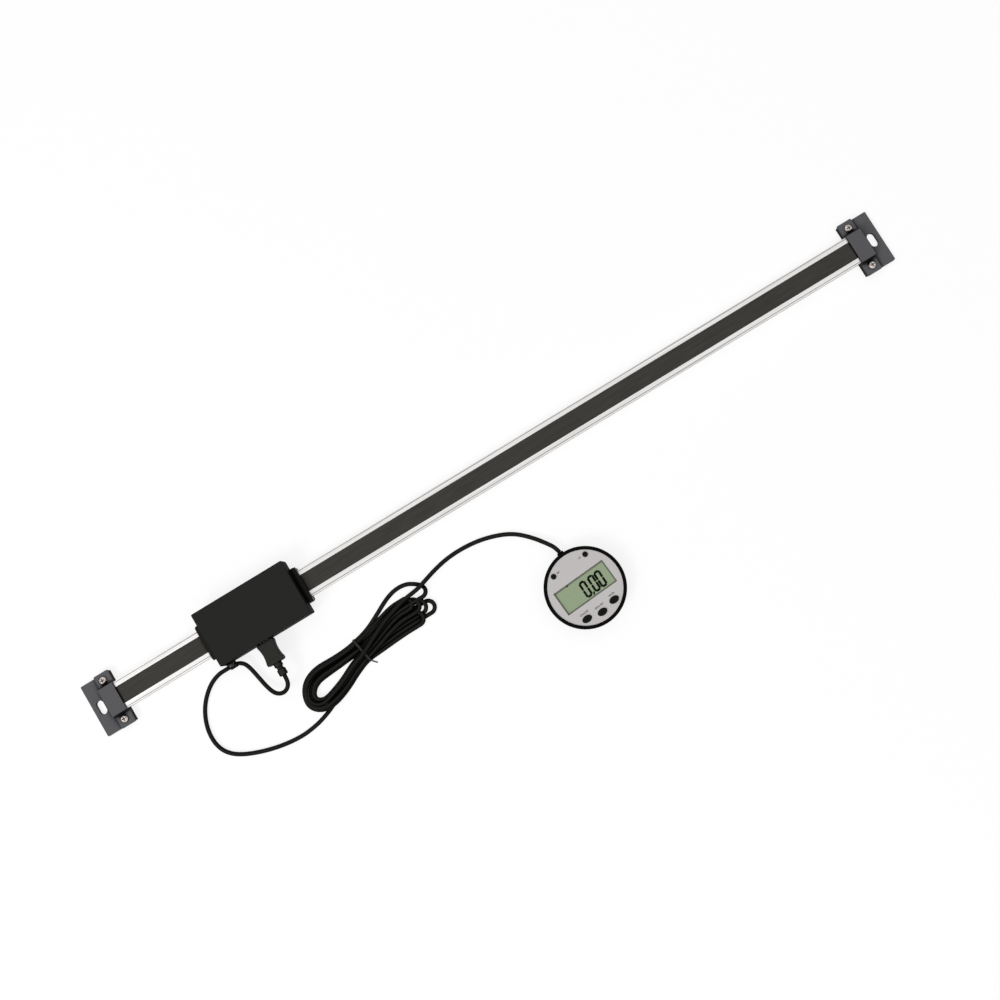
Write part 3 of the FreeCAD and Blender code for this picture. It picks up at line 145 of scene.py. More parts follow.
# Stations of the two bound runs: place along, first strand, step to the next, and the tie under it
LOWER_RUN = (
    (0.1598, -0.08057, 0.00155, 0.0),
    (0.1714, -0.07452, 0.00155, 0.0),
    (0.1822, -0.07027, 0.00133, 0.6 * MM),
)
UPPER_RUN = (
    (0.1822, -0.05414, -0.00133, 0.6 * MM),
    (0.1714, -0.05587, -0.00115, 0.0),
    (0.1598, -0.05616, -0.00126, 0.0),
)
# Stations of the loose strands, with the share of their spread, and the roundness of their folds
FAN = ((0.1930, 0.30), (0.2045, 0.68), (0.2160, 1.00))
FOLD_NEAR = 0.293
FOLD_FAR = 0.707
LONGEST_REACH = 0.2434
# The longest loop comes back in a wide bow beside the others
BOW = (
    (0.2366, -0.0518, HIGH),
    (0.2402, -0.0520, 0.0042),
    (0.2429, -0.0503, 0.0032),
    (0.2438, -0.0472, 0.0022),
    (0.2425, -0.0440, LOW),
    (0.2394, -0.0412, LOW),
    (0.2335, -0.0376, LOW),
    (0.2250, -0.0369, LOW),
    (0.2160, -0.0394, LOW),
    (0.2045, -0.0455, LOW),
    (0.1930, -0.0512, LOW),
)
# Each turn: rank of the run it leaves by, where that run fans to, how far its fold reaches,
# where the run back fans from, and the rank of the run it comes back by. Ranks count half pitches
# from the outer edge, and odd ranks lie on top of the even ones.
TURNS = (
    (2, -0.0649, LONGEST_REACH, -0.0556, 5),
    (5, -0.0518, LONGEST_REACH, None, 0),
    (0, -0.0680, 0.2325, -0.0586, 6),
    (4, -0.0618, 0.2383, -0.0524, 4),
    (3, -0.0547, 0.2304, -0.0461, 1),
    (1, -0.0589, 0.2347, -0.0492, 2),
)
LAST_RANK = 4
# The last strand leaves over the tie and the loose strands to the display
OVER_TIE = (
    (0.1822, -0.0652, 8.9 * MM),
    (0.1930, -0.0596, 8.2 * MM),
    (0.2045, -0.0540, 7.8 * MM),
    (0.2160, -0.0497, 6.6 * MM),
    (0.2275, -0.0467, 5.8 * MM),
)


def level(rank):
    """Height of a run in the tied hank."""
    return HIGH if rank % 2 else LOW


def left_fold(rank_in, rank_out, height_out):
    """Round the eye, from the run back to the next run out."""
    points = []
    last = len(LEFT_FOLD) - 1
    for index, (x, y, lift) in enumerate(LEFT_FOLD):
        share = index / last
        moved = share if rank_out < rank_in else share**INWARD_DELAY
        rank = rank_in + (rank_out - rank_in) * moved
        edge = Vector((x, y))
        place = edge + (EYE - edge).normalized() * (EDGE_TO_STRAND + rank * HALF_PITCH)
        height = level(rank_in) + (height_out - level(rank_in)) * share
        points.append((*place, height + (lift if rank <= OUTER_RANK else 0.0)))
    return points


def run(stations, rank, height):
    """Along the bound part of the hank."""
    return [(x, edge + rank * step, height + lift) for x, edge, step, lift in stations]


def fan(tied, spread, height):
    """From the tie to where the strands lie loose."""
    start = tied[1]
    return [(x, start + (spread - start) * share, height) for x, share in FAN]


def loose_fold(reach, spread_out, spread_back, height_out):
    """The rounded end of one loop, from its lower side to its upper side."""
    width = spread_back - spread_out
    turned = LOW if reach == LONGEST_REACH else HIGH
    near = reach - FOLD_NEAR * width
    far = reach - FOLD_FAR * width
    return [
        (far, spread_out, height_out),
        (near, spread_out, (height_out + turned) / 2),
        (reach, spread_out + FOLD_NEAR * width, turned),
        (reach, spread_back - FOLD_NEAR * width, turned),
        (near, spread_back, (turned + LOW) / 2),
        (far, spread_back, LOW),
    ]


def hank_points():
    """The whole winding, with the tail leaving over the tie."""
    points = []
    ranks_out = [turn[0] for turn in TURNS[1:]] + [LAST_RANK]
    heights_out = [level(rank) for rank in ranks_out[:-1]] + [TOP]
    for turn, rank_next, height_next in zip(TURNS, ranks_out, heights_out):
        rank_out, spread_out, reach, spread_back, rank_back = turn
        out = run(LOWER_RUN, rank_out, level(rank_out))
        back = run(UPPER_RUN, rank_back, level(rank_back))
        points += out + fan(out[-1], spread_out, level(rank_out))
        if spread_back is None:
            points += BOW
        else:
            points += loose_fold(reach, spread_out, spread_back, level(rank_out))
            points += reversed(fan(back[0], spread_back, LOW))
        points += back + left_fold(rank_back, rank_next, height_next)
    return points + run(LOWER_RUN[:-1], LAST_RANK, TOP) + list(OVER_TIE)


def place_camera():
    """The photograph's view."""
    data = bpy.data.cameras.new("camera")
    data.lens = LENS_MM
    data.sensor_width = SENSOR_MM
    right = Vector(CAMERA_RIGHT).normalized()
    up = Vector(CAMERA_UP).normalized()
    turn = Matrix((right, up, right.cross(up))).transposed().to_4x4()
    camera = bpy.data.objects.new("camera", data)
    camera.matrix_world = Matrix.Translation(CAMERA_PLACE) @ turn
    bpy.context.scene.collection.objects.link(camera)
    bpy.context.scene.camera = camera


# Finishes: each starts from what the real surface is, and noise at its grain breaks it up
NOISE_DETAIL = 3.0
NOISE_LOW = 0.3
NOISE_HIGH = 0.7
# Steep faces: how far a face looks up where their painted shade begins, and where it is full
STEEP_FROM = 0.95
STEEP_FULL = 0.4
# Rubbed edges: their radius, and how far the rounded face agrees with the plain one where wear
# and painted glints begin and where they are full
EDGE_RADIUS = 0.35 * MM
EDGE_SAMPLES = 4
WEAR_AND_GLINT_FROM = 0.98
WEAR_AND_GLINT_FULL = 0.75
# Painted shade in corners: how open the surface is where it begins, and where it is full
CORNER_SHADE_SAMPLES = 8
CORNER_SHADE_FROM = 0.86
CORNER_SHADE_FULL = 0.62
# Places of the mixing node's sockets, because colours and plain values share their names
FIRST_COLOUR = 6
SECOND_COLOUR = 7
MIXED_COLOUR = 2
FIRST_VALUE = 2
SECOND_VALUE = 3
MIXED_VALUE = 0


def linear(colour):
    """An sRGB hex colour as linear red, green, blue and alpha."""
    channels = [int(colour[start:start + 2], 16) / 255 for start in (0, 2, 4)]
    return [c / 12.92 if c <= 0.04045 else ((c + 0.055) / 1.055) ** 2.4 for c in channels] + [1.0]


def node(tree, kind, inputs=(), **settings):
    """Adds a node with its settings, and fills or links its inputs."""
    new = tree.nodes.new(kind)
    for name, value in settings.items():
        setattr(new, name, value)
    for name, value in dict(inputs).items():
        if isinstance(value, bpy.types.NodeSocket):
            tree.links.new(value, new.inputs[name])
        else:
            new.inputs[name].default_value = value
    return new


def paint_steep_shade(tree, colour, shade):
    """Steep faces take a painted shade, so that what faces up looks lit and what stands upright looks
    shaded.
    """
    facing = node(tree, "ShaderNodeTexCoord").outputs["Normal"]
    up = node(tree, "ShaderNodeSeparateXYZ", {"Vector": facing}).outputs["Z"]
    steep = node(
        tree, "ShaderNodeMapRange", {"Value": up, "From Min": STEEP_FROM, "From Max": STEEP_FULL}
    ).outputs["Result"]
    return node(
        tree,
        "ShaderNodeMix",
        {"Factor": steep, FIRST_COLOUR: colour, SECOND_COLOUR: linear(shade)},
        data_type="RGBA",
    ).outputs[MIXED_COLOUR]


def rub_and_glint_edges(tree, colour, shade, share, bump):
    """Edges look rounded, and a lighter shade shows on them in patches that follow the noise: wear, and
    on some finishes a painted glint.
    """
    rounded = node(
        tree, "ShaderNodeBevel", {"Radius": EDGE_RADIUS}, samples=EDGE_SAMPLES
    ).outputs["Normal"]
    tree.links.new(rounded, bump.inputs["Normal"])
    plain = node(tree, "ShaderNodeNewGeometry").outputs["Normal"]
    alike = node(
        tree, "ShaderNodeVectorMath", {0: rounded, 1: plain}, operation="DOT_PRODUCT"
    ).outputs["Value"]
    edge = node(
        tree, "ShaderNodeMapRange", {"Value": alike, "From Min": WEAR_AND_GLINT_FROM, "From Max": WEAR_AND_GLINT_FULL}
    ).outputs["Result"]
    wear_and_glint_share = node(tree, "ShaderNodeMath", {0: edge, 1: share}, operation="MULTIPLY").outputs["Value"]
    return node(
        tree,
        "ShaderNodeMix",
        {"Factor": wear_and_glint_share, FIRST_COLOUR: colour, SECOND_COLOUR: linear(shade)},
        data_type="RGBA",
    ).outputs[MIXED_COLOUR]


def paint_corner_shade(tree, colour, shade, reach):
    """Painted shade lies in corners, and comes out of them as far as its reach."""
    opened = node(
        tree, "ShaderNodeAmbientOcclusion", {"Distance": reach}, samples=CORNER_SHADE_SAMPLES
    ).outputs["AO"]
    filled = node(
        tree, "ShaderNodeMapRange", {"Value": opened, "From Min": CORNER_SHADE_FROM, "From Max": CORNER_SHADE_FULL}
    ).outputs["Result"]
    return node(
        tree,
        "ShaderNodeMix",
        {"Factor": filled, FIRST_COLOUR: colour, SECOND_COLOUR: linear(shade)},
        data_type="RGBA",
    ).outputs[MIXED_COLOUR]


def finish(
    name,
    shades,
    roughness,
    grain,
    relief=0.0,
    stretch=(1.0, 1.0, 1.0),
    upright=None,
    wear_and_glint=None,
    corner_shade=None,
    values=(),
):
    """A finish whose noise of one grain size moves it between two shades and two roughnesses and
    raises it by relief. Of the settings after stretch, the first is the painted shade of steep
    faces, the second the shade of edges, which is wear and on some finishes a painted glint, and
    the third the painted shade in corners with its reach; values are the shader's own."""
    material = bpy.data.materials.new(name)
    material.use_nodes = True
    tree = material.node_tree
    shader = tree.nodes["Principled BSDF"]
    for socket, value in dict(values).items():
        shader.inputs[socket].default_value = value
    place = node(tree, "ShaderNodeTexCoord").outputs["Object"]
    drawn = node(tree, "ShaderNodeMapping", {"Vector": place, "Scale": stretch}).outputs["Vector"]
    noise = node(
        tree, "ShaderNodeTexNoise", {"Vector": drawn, "Scale": 1 / grain, "Detail": NOISE_DETAIL}
    ).outputs["Fac"]
    share = node(
        tree, "ShaderNodeMapRange", {"Value": noise, "From Min": NOISE_LOW, "From Max": NOISE_HIGH}
    ).outputs["Result"]
    colour = node(
        tree,
        "ShaderNodeMix",
        {"Factor": share, FIRST_COLOUR: linear(shades[0]), SECOND_COLOUR: linear(shades[1])},
        data_type="RGBA",
    ).outputs[MIXED_COLOUR]
    rough = node(
        tree, "ShaderNodeMapRange", {"Value": share, "To Min": roughness[0], "To Max": roughness[1]}
    ).outputs["Result"]
    bump = node(tree, "ShaderNodeBump", {"Height": share, "Distance": relief})
    if upright:
        colour = paint_steep_shade(tree, colour, upright)
    if wear_and_glint:
        colour = rub_and_glint_edges(tree, colour, wear_and_glint, share, bump)
    if corner_shade:
        colour = paint_corner_shade(tree, colour, *corner_shade)
    tree.links.new(colour, shader.inputs["Base Color"])
    tree.links.new(rough, shader.inputs["Roughness"])
    tree.links.new(bump.outputs["Normal"], shader.inputs["Normal"])
    return material


def show_through(material, shade, kind, inputs, **settings):
    """A second shade shows through a finish where a texture of some kind is bright."""
    tree = material.node_tree
    shader = tree.nodes["Principled BSDF"]
    base = shader.inputs["Base Color"].links[0].from_socket
    place = node(tree, "ShaderNodeTexCoord").outputs["Object"]
    shown = node(tree, kind, {"Vector": place, **inputs}, **settings).outputs["Fac"]
    colour = node(
        tree,
        "ShaderNodeMix",
        {"Factor": shown, FIRST_COLOUR: base, SECOND_COLOUR: linear(shade)},
        data_type="RGBA",
    ).outputs[MIXED_COLOUR]
    tree.links.new(colour, shader.inputs["Base Color"])
    return material


def clear_anodised_aluminium():
    # Extruded and clear anodised: pale, with die lines along the rail, drawn coarser than they are
    return finish(
        "clear_anodised_aluminium",
        shades=("d3d1cf", "efedec"),
        roughness=(0.26, 0.42),
        grain=0.45 * MM,
        relief=0.004 * MM,
        stretch=(1 / 150, 1.0, 1.0),
        # Painted shade in its corners and where it meets other parts
        corner_shade=("a29e9b", 2.0 * MM),
        values={"Metallic": 1.0},
    )


def fibre_laminate():
    # Glass-fibre laminate under a dull film: dark warm grey with faint long streaks
    return finish(
        "fibre_laminate",
        shades=("393734", "413f3c"),
        roughness=(0.48, 0.60),
        grain=1.6 * MM,
        relief=0.003 * MM,
        stretch=(1 / 12, 1.0, 1.0),
        # Painted shade in its corners, where the straps and the head stand over it
        corner_shade=("0d0c0b", 4.0 * MM),
        values={"Specular IOR Level": 0.03},
    )


# How far the painted shade comes out of the corners of the bracket bases and of the straps
BASE_SHADE_REACH = 8.0 * MM
STRAP_SHADE_REACH = 3.0 * MM


def charcoal_enamel(name, shade_reach):
    # Stoved enamel on pressed steel: satin, slightly uneven like orange peel, edges lighter as wear and
    # a painted highlight, steep faces painted in shade, painted shade in the corners
    return finish(
        name,
        shades=("525255", "5e5e61"),
        roughness=(0.44, 0.56),
        grain=0.8 * MM,
        relief=0.006 * MM,
        upright="222224",
        wear_and_glint="808083",
        corner_shade=("070708", shade_reach),
        values={"Specular IOR Level": 0.02},
    )


def zinc_plate():
    # Bright zinc on steel: silvery with a warm cast and cloudy patches
    return finish(
        "zinc_plate",
        shades=("b5ada8", "ddd5cf"),
        roughness=(0.20, 0.36),
        grain=0.9 * MM,
        relief=0.004 * MM,
        wear_and_glint="efeae6",
        # Painted shade in the hollows of the screw heads
        corner_shade=("2c2725", 1.5 * MM),
        values={"Metallic": 1.0},
    )


def black_oxide():
    # Blackened steel: near black with an oily sheen, its edges painted bright as a glint
    return finish(
        "black_oxide",
        shades=("1a1a1b", "2a2a2b"),
        roughness=(0.26, 0.38),
        grain=0.6 * MM,
        relief=0.004 * MM,
        wear_and_glint="e2e2e4",
        values={"Specular IOR Level": 0.30},
    )


def black_anodised():
    # Black anodised aluminium: even, dull, a trace of milling
    return finish(
        "black_anodised",
        shades=("1c1c1b", "252524"),
        roughness=(0.46, 0.58),
        grain=0.5 * MM,
        relief=0.004 * MM,
        stretch=(1 / 8, 1.0, 1.0),
        # Steep faces painted darker as shade, and painted shade in the corners
        upright="131313",
        wear_and_glint="3e3e3e",
        corner_shade=("080808", 5.0 * MM),
        values={"Specular IOR Level": 0.015},
    )


def moulded_abs():
    # ABS from a spark-eroded mould: matt black with a fine grain, drawn coarser than it is
    return finish(
        "moulded_abs",
        shades=("222221", "2b2b2a"),
        roughness=(0.52, 0.66),
        grain=0.45 * MM,
        relief=0.02 * MM,
        # Steep faces painted darker as shade, and painted shade in the corners
        upright="131313",
        wear_and_glint="353534",
        corner_shade=("080808", 5.0 * MM),
        values={"Specular IOR Level": 0.015},
    )


def acetal():
    # Natural acetal: waxy off-white
    return finish(
        "acetal",
        shades=("dcd8cd", "ebe7de"),
        roughness=(0.36, 0.46),
        grain=0.8 * MM,
        relief=0.003 * MM,
        values={"Subsurface Weight": 0.05},
    )


def nitrile_rubber():
    # Cut nitrile sheet: soft dark grey, dusty
    return finish(
        "nitrile_rubber",
        shades=("1e1f1c", "292a26"),
        roughness=(0.62, 0.76),
        grain=0.5 * MM,
        relief=0.01 * MM,
        values={"Specular IOR Level": 0.01},
    )


# Copper tracks under the solder resist
TRACK_WIDTH = 0.144 * MM
TRACK_SPACING = 1.44 * MM
TRACK_LENGTH = 7.2 * MM


def solder_resist():
    # Green solder resist over copper tracks, which show as paler lines
    resist = finish(
        "solder_resist",
        shades=("17492b", "1f5a36"),
        roughness=(0.28, 0.38),
        grain=0.5 * MM,
        relief=0.004 * MM,
    )
    tracks = {
        "Scale": 1 / MM,
        "Mortar Size": TRACK_WIDTH / 2 / MM,
        "Brick Width": TRACK_LENGTH / MM,
        "Row Height": TRACK_SPACING / MM,
    }
    return show_through(resist, "4d8a5c", "ShaderNodeTexBrick", tracks)


def moulded_epoxy():
    # Epoxy of chip packages: dull black with a sandy face
    return finish(
        "moulded_epoxy",
        shades=("161617", "202022"),
        roughness=(0.50, 0.62),
        grain=0.3 * MM,
        relief=0.008 * MM,
    )


def tin_plate():
    # Tin over brass and steel: bright, a little clouded
    return finish(
        "tin_plate",
        shades=("b8b8b5", "d4d4d1"),
        roughness=(0.18, 0.30),
        grain=0.7 * MM,
        relief=0.003 * MM,
        values={"Metallic": 1.0},
    )


def soft_vinyl(name, shades):
    # Extruded or moulded soft vinyl: black, its top painted grey as a highlight and its steep sides
    # painted dark as shade, with painted shade between strands
    return finish(
        name,
        shades=shades,
        roughness=(0.34, 0.46),
        grain=0.7 * MM,
        relief=0.006 * MM,
        upright="0b0b0a",
        corner_shade=("060606", 5.0 * MM),
        values={"Specular IOR Level": 0.012},
    )


def polished_abs():
    # ABS from a polished mould: deep black with a soft gloss
    return finish(
        "polished_abs",
        shades=("060607", "0b0b0c"),
        roughness=(0.24, 0.34),
        grain=0.6 * MM,
        relief=0.003 * MM,
        values={"Specular IOR Level": 0.025},
    )


def printed_film():
    # Polycarbonate film printed grey on its back: matt and even, with a fine grain
    return finish(
        "printed_film",
        shades=("b9b6b5", "c2bfbe"),
        roughness=(0.46, 0.56),
        grain=0.3 * MM,
        relief=0.004 * MM,
        values={"Specular IOR Level": 0.2},
    )


def clear_acrylic():
    # Cast acrylic, polished: so clear that only a trace of tint and gloss is seen
    return finish(
        "clear_acrylic",
        shades=("101210", "141614"),
        roughness=(0.04, 0.08),
        grain=2.0 * MM,
        values={"Alpha": 0.03, "IOR": 1.49},
    )


def display_reflector():
    # Grey-green reflector behind the liquid crystal: dull, with the sparkle of its foil
    return finish(
        "display_reflector",
        shades=("8d9c7e", "97a787"),
        roughness=(0.40, 0.50),
        grain=0.35 * MM,
        relief=0.003 * MM,
        values={"Specular IOR Level": 0.2},
    )


def switched_crystal():
    # Liquid crystal that is switched on: black-green between its polarisers
    return finish(
        "switched_crystal",
        shades=("090d08", "10150e"),
        roughness=(0.40, 0.46),
        grain=0.4 * MM,
        values={"Specular IOR Level": 0.02},
    )


def painted_recess_shadow():
    # Painted shadow of the window's recess round the edge of the display's glass: dull grey-green
    return finish(
        "painted_recess_shadow",
        shades=("6c7164", "757a6c"),
        roughness=(0.50, 0.58),
        grain=0.3 * MM,
        values={"Specular IOR Level": 0.1},
    )


def silicone_rubber():
    # Moulded silicone keys: black, smooth, with a soft gloss on the crown
    return finish(
        "silicone_rubber",
        shades=("101010", "181818"),
        roughness=(0.26, 0.36),
        grain=0.4 * MM,
        relief=0.004 * MM,
        wear_and_glint="6a6a6a",
        values={"Specular IOR Level": 0.03},
    )


# Conducting layers of the elastomer, and the wave texture's own length at a scale of one
LAYER_PITCH = 2.513 * MM
WAVE_LENGTH = math.tau / 20


def striped_elastomer():
    # Elastomer connector: black conducting layers through pale silicone, drawn coarser than they are
    silicone = finish(
        "striped_elastomer",
        shades=("cfc8bc", "dbd4c9"),
        roughness=(0.46, 0.56),
        grain=0.5 * MM,
    )
    layers = {"Scale": WAVE_LENGTH / LAYER_PITCH}
    return show_through(silicone, "2a2a2a", "ShaderNodeTexWave", layers, bands_direction="X")


def spring_brass():
    # Rolled brass springs: yellow, faintly streaked
    return finish(
        "spring_brass",
        shades=("b8964a", "d2b268"),
        roughness=(0.22, 0.34),
        grain=0.5 * MM,
        relief=0.003 * MM,
        stretch=(1 / 6, 1.0, 1.0),
        values={"Metallic": 1.0},
    )


def printing_ink():
    # Dark grey ink of the legends on the face film
    return finish(
        "printing_ink",
        shades=("303032", "3c3c3e"),
        roughness=(0.50, 0.58),
        grain=0.3 * MM,
    )


def tie_vinyl():
    # Vinyl drawn over a tie wire: dark grey, duller than the cable's jacket
    return finish(
        "tie_vinyl",
        shades=("2c2a29", "383634"),
        roughness=(0.42, 0.54),
        grain=0.4 * MM,
        relief=0.006 * MM,
        values={"Specular IOR Level": 0.02},
    )


FINISHES = {
    "bright_aluminium": clear_anodised_aluminium(),
    "scale_tape": fibre_laminate(),
    "charcoal_enamel": charcoal_enamel("charcoal_enamel", BASE_SHADE_REACH),
    "zinc_steel": zinc_plate(),
    "black_anodised": black_anodised(),
    "black_plastic": moulded_abs(),
    "glide_plastic": acetal(),
    "wiper_rubber": nitrile_rubber(),
    "board_laminate": solder_resist(),
    "component_black": moulded_epoxy(),
    "tinned_steel": tin_plate(),
    "cable_jacket": soft_vinyl("moulded_vinyl", ("272825", "343531")),
    "display_black": polished_abs(),
    "face_grey": printed_film(),
    "clear_window": clear_acrylic(),
    "lcd_green": display_reflector(),
    "button_rubber": silicone_rubber(),
    "elastomer": striped_elastomer(),
    "contact_brass": spring_brass(),
    "blackened_steel": black_oxide(),
}
SWITCHED = switched_crystal()
INK = printing_ink()
RECESS_SHADOW = painted_recess_shadow()
TIE_VINYL = tie_vinyl()
CORD_VINYL = soft_vinyl("extruded_vinyl", ("191a18", "272825"))
# The straps' enamel differs only in how far its painted corner shade reaches
STRAP_ENAMEL = charcoal_enamel("charcoal_enamel_strap", STRAP_SHADE_REACH)
OWN_FINISHES = {"clamp_strap_left": STRAP_ENAMEL, "clamp_strap_right": STRAP_ENAMEL}


def dress_nodes():
    """Gives every node of the frame its own finish or that of its slot."""
    for row in frame["record"]["subparts"]:
        name = row["node"]
        mesh = frame["nodes"][name].data
        mesh.materials.clear()
        mesh.materials.append(OWN_FINISHES.get(name, FINISHES[row["material_slot"]]))


def link_piece(name, data, material):
    """Makes a mesh a piece that rides on the reader head."""
    data.materials.clear()
    data.materials.append(material)
    piece = bpy.data.objects.new(name, data)
    bpy.context.scene.collection.objects.link(piece)
    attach(piece, "reader_head")
    return piece


def add_piece(name, mesh, material):
    """Turns a finished bmesh into a piece, with its faces outwards."""
    bmesh.ops.recalc_face_normals(mesh, faces=mesh.faces)
    data = bpy.data.meshes.new(name)
    mesh.to_mesh(data)
    mesh.free()
    return link_piece(name, data, material)


def add_cable():
    """One cord from the display to its plug at the reader head."""
    points = [*LEAD, *ENTRY, *hank_points(), *TAIL]
    curve = bpy.data.curves.new("signal_cable", "CURVE")
    curve.dimensions = "3D"
    curve.bevel_depth = CABLE_RADIUS
    curve.bevel_resolution = CABLE_ROUNDNESS
    curve.use_fill_caps = True
    curve.materials.append(CORD_VINYL)
    spline = curve.splines.new("NURBS")
    spline.points.add(len(points) - 1)
    for point, place in zip(spline.points, points):
        point.co = (*place, 1.0)
    spline.order_u = CABLE_ORDER
    spline.use_endpoint_u = True
    spline.resolution_u = CABLE_STEPS
    cable = bpy.data.objects.new("signal_cable", curve)
    bpy.context.scene.collection.objects.link(cable)
    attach(cable, "reader_head")
    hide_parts("cable_lead", "cable_hank", "cable_tail")


# Display: the film on its glass, what the liquid crystal shows, the rims round the keys, the legends
DISPLAY_TURN = math.radians(4.3)
PANEL_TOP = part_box("lcd_panel")[1].z
FACE_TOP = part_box("face_plate")[1].z
FILM_LENGTH = 43.0 * MM
FILM_WIDTH = 19.3 * MM
FILM_THICK = 0.1 * MM
FILM_ROUND_STEPS = 2
FILM_TOP = PANEL_TOP + FILM_THICK
# The painted shadow of the window's recess: a thin dark margin on the film
SHADOW_INNER_LENGTH = 40.2 * MM
SHADOW_INNER_WIDTH = 16.1 * MM
SHADOW_INNER_LEVEL = -0.2 * MM
SHADOW_THICK = 0.02 * MM
DIGIT_WIDTH = 5.4 * MM
DIGIT_HEIGHT = 12.9 * MM
DIGIT_STROKE = 1.7 * MM
DIGIT_SLANT = math.radians(2)
DIGIT_PLACES = (-0.35 * MM, 6.85 * MM, 12.45 * MM)
DIGIT_LEVEL = -1.05 * MM
SEGMENT_SIDES = 6
SEGMENT_GAP = 0.16 * MM
SEGMENT_THICK = 0.05 * MM
POINT_PLACE = (2.9 * MM, -6.8 * MM)
POINT_SLANT = math.radians(24)
POINT_LENGTH = 2.55 * MM
POINT_STROKE = 1.19 * MM
DASH_PLACE = (-9.9 * MM, 8.1 * MM)
DASH_LENGTH = 1.92 * MM
DASH_STROKE = 0.8 * MM
OVAL_KEY = (7.1 * MM, 4.5 * MM)
ROUND_KEY = (3.5 * MM, 3.5 * MM)
KEYS = {
    "button_oval_left": OVAL_KEY,
    "button_oval_middle": OVAL_KEY,
    "button_oval_right": OVAL_KEY,
    "button_round_left": ROUND_KEY,
    "button_round_right": ROUND_KEY,
}
KEY_GAP = 0.3 * MM
RIM_SIDES = 48
RIM_WIDTH = 0.6 * MM
RIM_RISE = 0.3 * MM
RIM_ROUND = 0.2 * MM
RIM_ROUND_STEPS = 3
SHARP_ANGLE = math.radians(60)
LEGEND_SIZE = 2.0 * MM
SMALL_LEGEND_SIZE = 1.7 * MM
LEGEND_BOLD = 0.05 * MM
LEGEND_THICK = 0.01 * MM
LEGENDS = (
    ("on_off", "ON/OFF", LEGEND_SIZE, (-11.2 * MM, -14.4 * MM)),
    ("zero", "ZERO SET", SMALL_LEGEND_SIZE, (0.3 * MM, -16.3 * MM)),
    ("units", "mm/in", LEGEND_SIZE, (12.3 * MM, -14.4 * MM)),
    ("set", "SET", SMALL_LEGEND_SIZE, (-9.3 * MM, 19.6 * MM)),
    ("up", "UP", SMALL_LEGEND_SIZE, (9.0 * MM, 19.4 * MM)),
)


def display_frame(height):
    """The display's own axes, at a height."""
    low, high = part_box("display_housing")
    centre = (low + high) / 2
    return Matrix.Translation((centre.x, centre.y, height)) @ Matrix.Rotation(DISPLAY_TURN, 4, "Z")


def local_centre(node_name):
    """Centre of a node in the display's own axes."""
    low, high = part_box(node_name)
    return display_frame(0.0).inverted() @ ((low + high) / 2)


def add_oblong(mesh, length, width, offset=0.0):
    """A flat oblong at the display's centre, moved up its face by an offset."""
    corners = bmesh.ops.create_grid(mesh, x_segments=1, y_segments=1, size=0.5)["verts"]
    bmesh.ops.scale(mesh, vec=(length, width, 1), verts=corners)
    bmesh.ops.translate(mesh, vec=(0, offset, 0), verts=corners)


def raise_faces(mesh, faces, height):
    """Thickens flat faces upwards, and gives back the edges of their tops."""
    raised = bmesh.ops.extrude_face_region(mesh, geom=faces)["geom"]
    top = [item for item in raised if isinstance(item, bmesh.types.BMVert)]
    bmesh.ops.translate(mesh, vec=(0, 0, height), verts=top)
    return [item for item in raised if isinstance(item, bmesh.types.BMEdge)]


def round_edges(mesh, edges, offset, steps):
    """Rounds edges over in a few steps."""
    bmesh.ops.bevel(
        mesh, geom=edges, offset=offset, segments=steps, profile=0.5, affect="EDGES", material=-1
    )


def add_film():
    """The polariser film on the liquid crystal's glass."""
    mesh = bmesh.new()
    add_oblong(mesh, FILM_LENGTH, FILM_WIDTH)
    edges = raise_faces(mesh, mesh.faces[:], FILM_THICK)
    round_edges(mesh, edges, FILM_THICK / 2, FILM_ROUND_STEPS)
    bmesh.ops.transform(mesh, matrix=display_frame(PANEL_TOP), verts=mesh.verts)
    add_piece("polariser_film", mesh, FINISHES["lcd_green"])


def add_recess_shadow():
    """A dark margin round the film: the painted shadow of the window's recess."""
    mesh = bmesh.new()
    add_oblong(mesh, FILM_LENGTH, FILM_WIDTH)
    add_oblong(mesh, SHADOW_INNER_LENGTH, SHADOW_INNER_WIDTH, SHADOW_INNER_LEVEL)
    bmesh.ops.delete(mesh, geom=mesh.faces[:], context="FACES_ONLY")
    margin = bmesh.ops.bridge_loops(mesh, edges=mesh.edges[:])["faces"]
    raise_faces(mesh, margin, SHADOW_THICK)
    bmesh.ops.transform(mesh, matrix=display_frame(FILM_TOP), verts=mesh.verts)
    add_piece("lcd_recess_shadow", mesh, RECESS_SHADOW)


def add_segment(mesh, place, length, turn, stroke=DIGIT_STROKE):
    """One bar of a digit, with pointed ends, turned from upright."""
    radius = stroke / 2 / math.cos(math.pi / SEGMENT_SIDES)
    bar = bmesh.ops.create_circle(mesh, cap_ends=True, segments=SEGMENT_SIDES, radius=radius)["verts"]
    for vert in bar:
        vert.co.y += math.copysign((length - stroke) / 2, vert.co.y)
    laid = Matrix.Translation((*place, 0)) @ Matrix.Rotation(turn, 4, "Z")
    bmesh.ops.transform(mesh, matrix=laid, verts=bar)


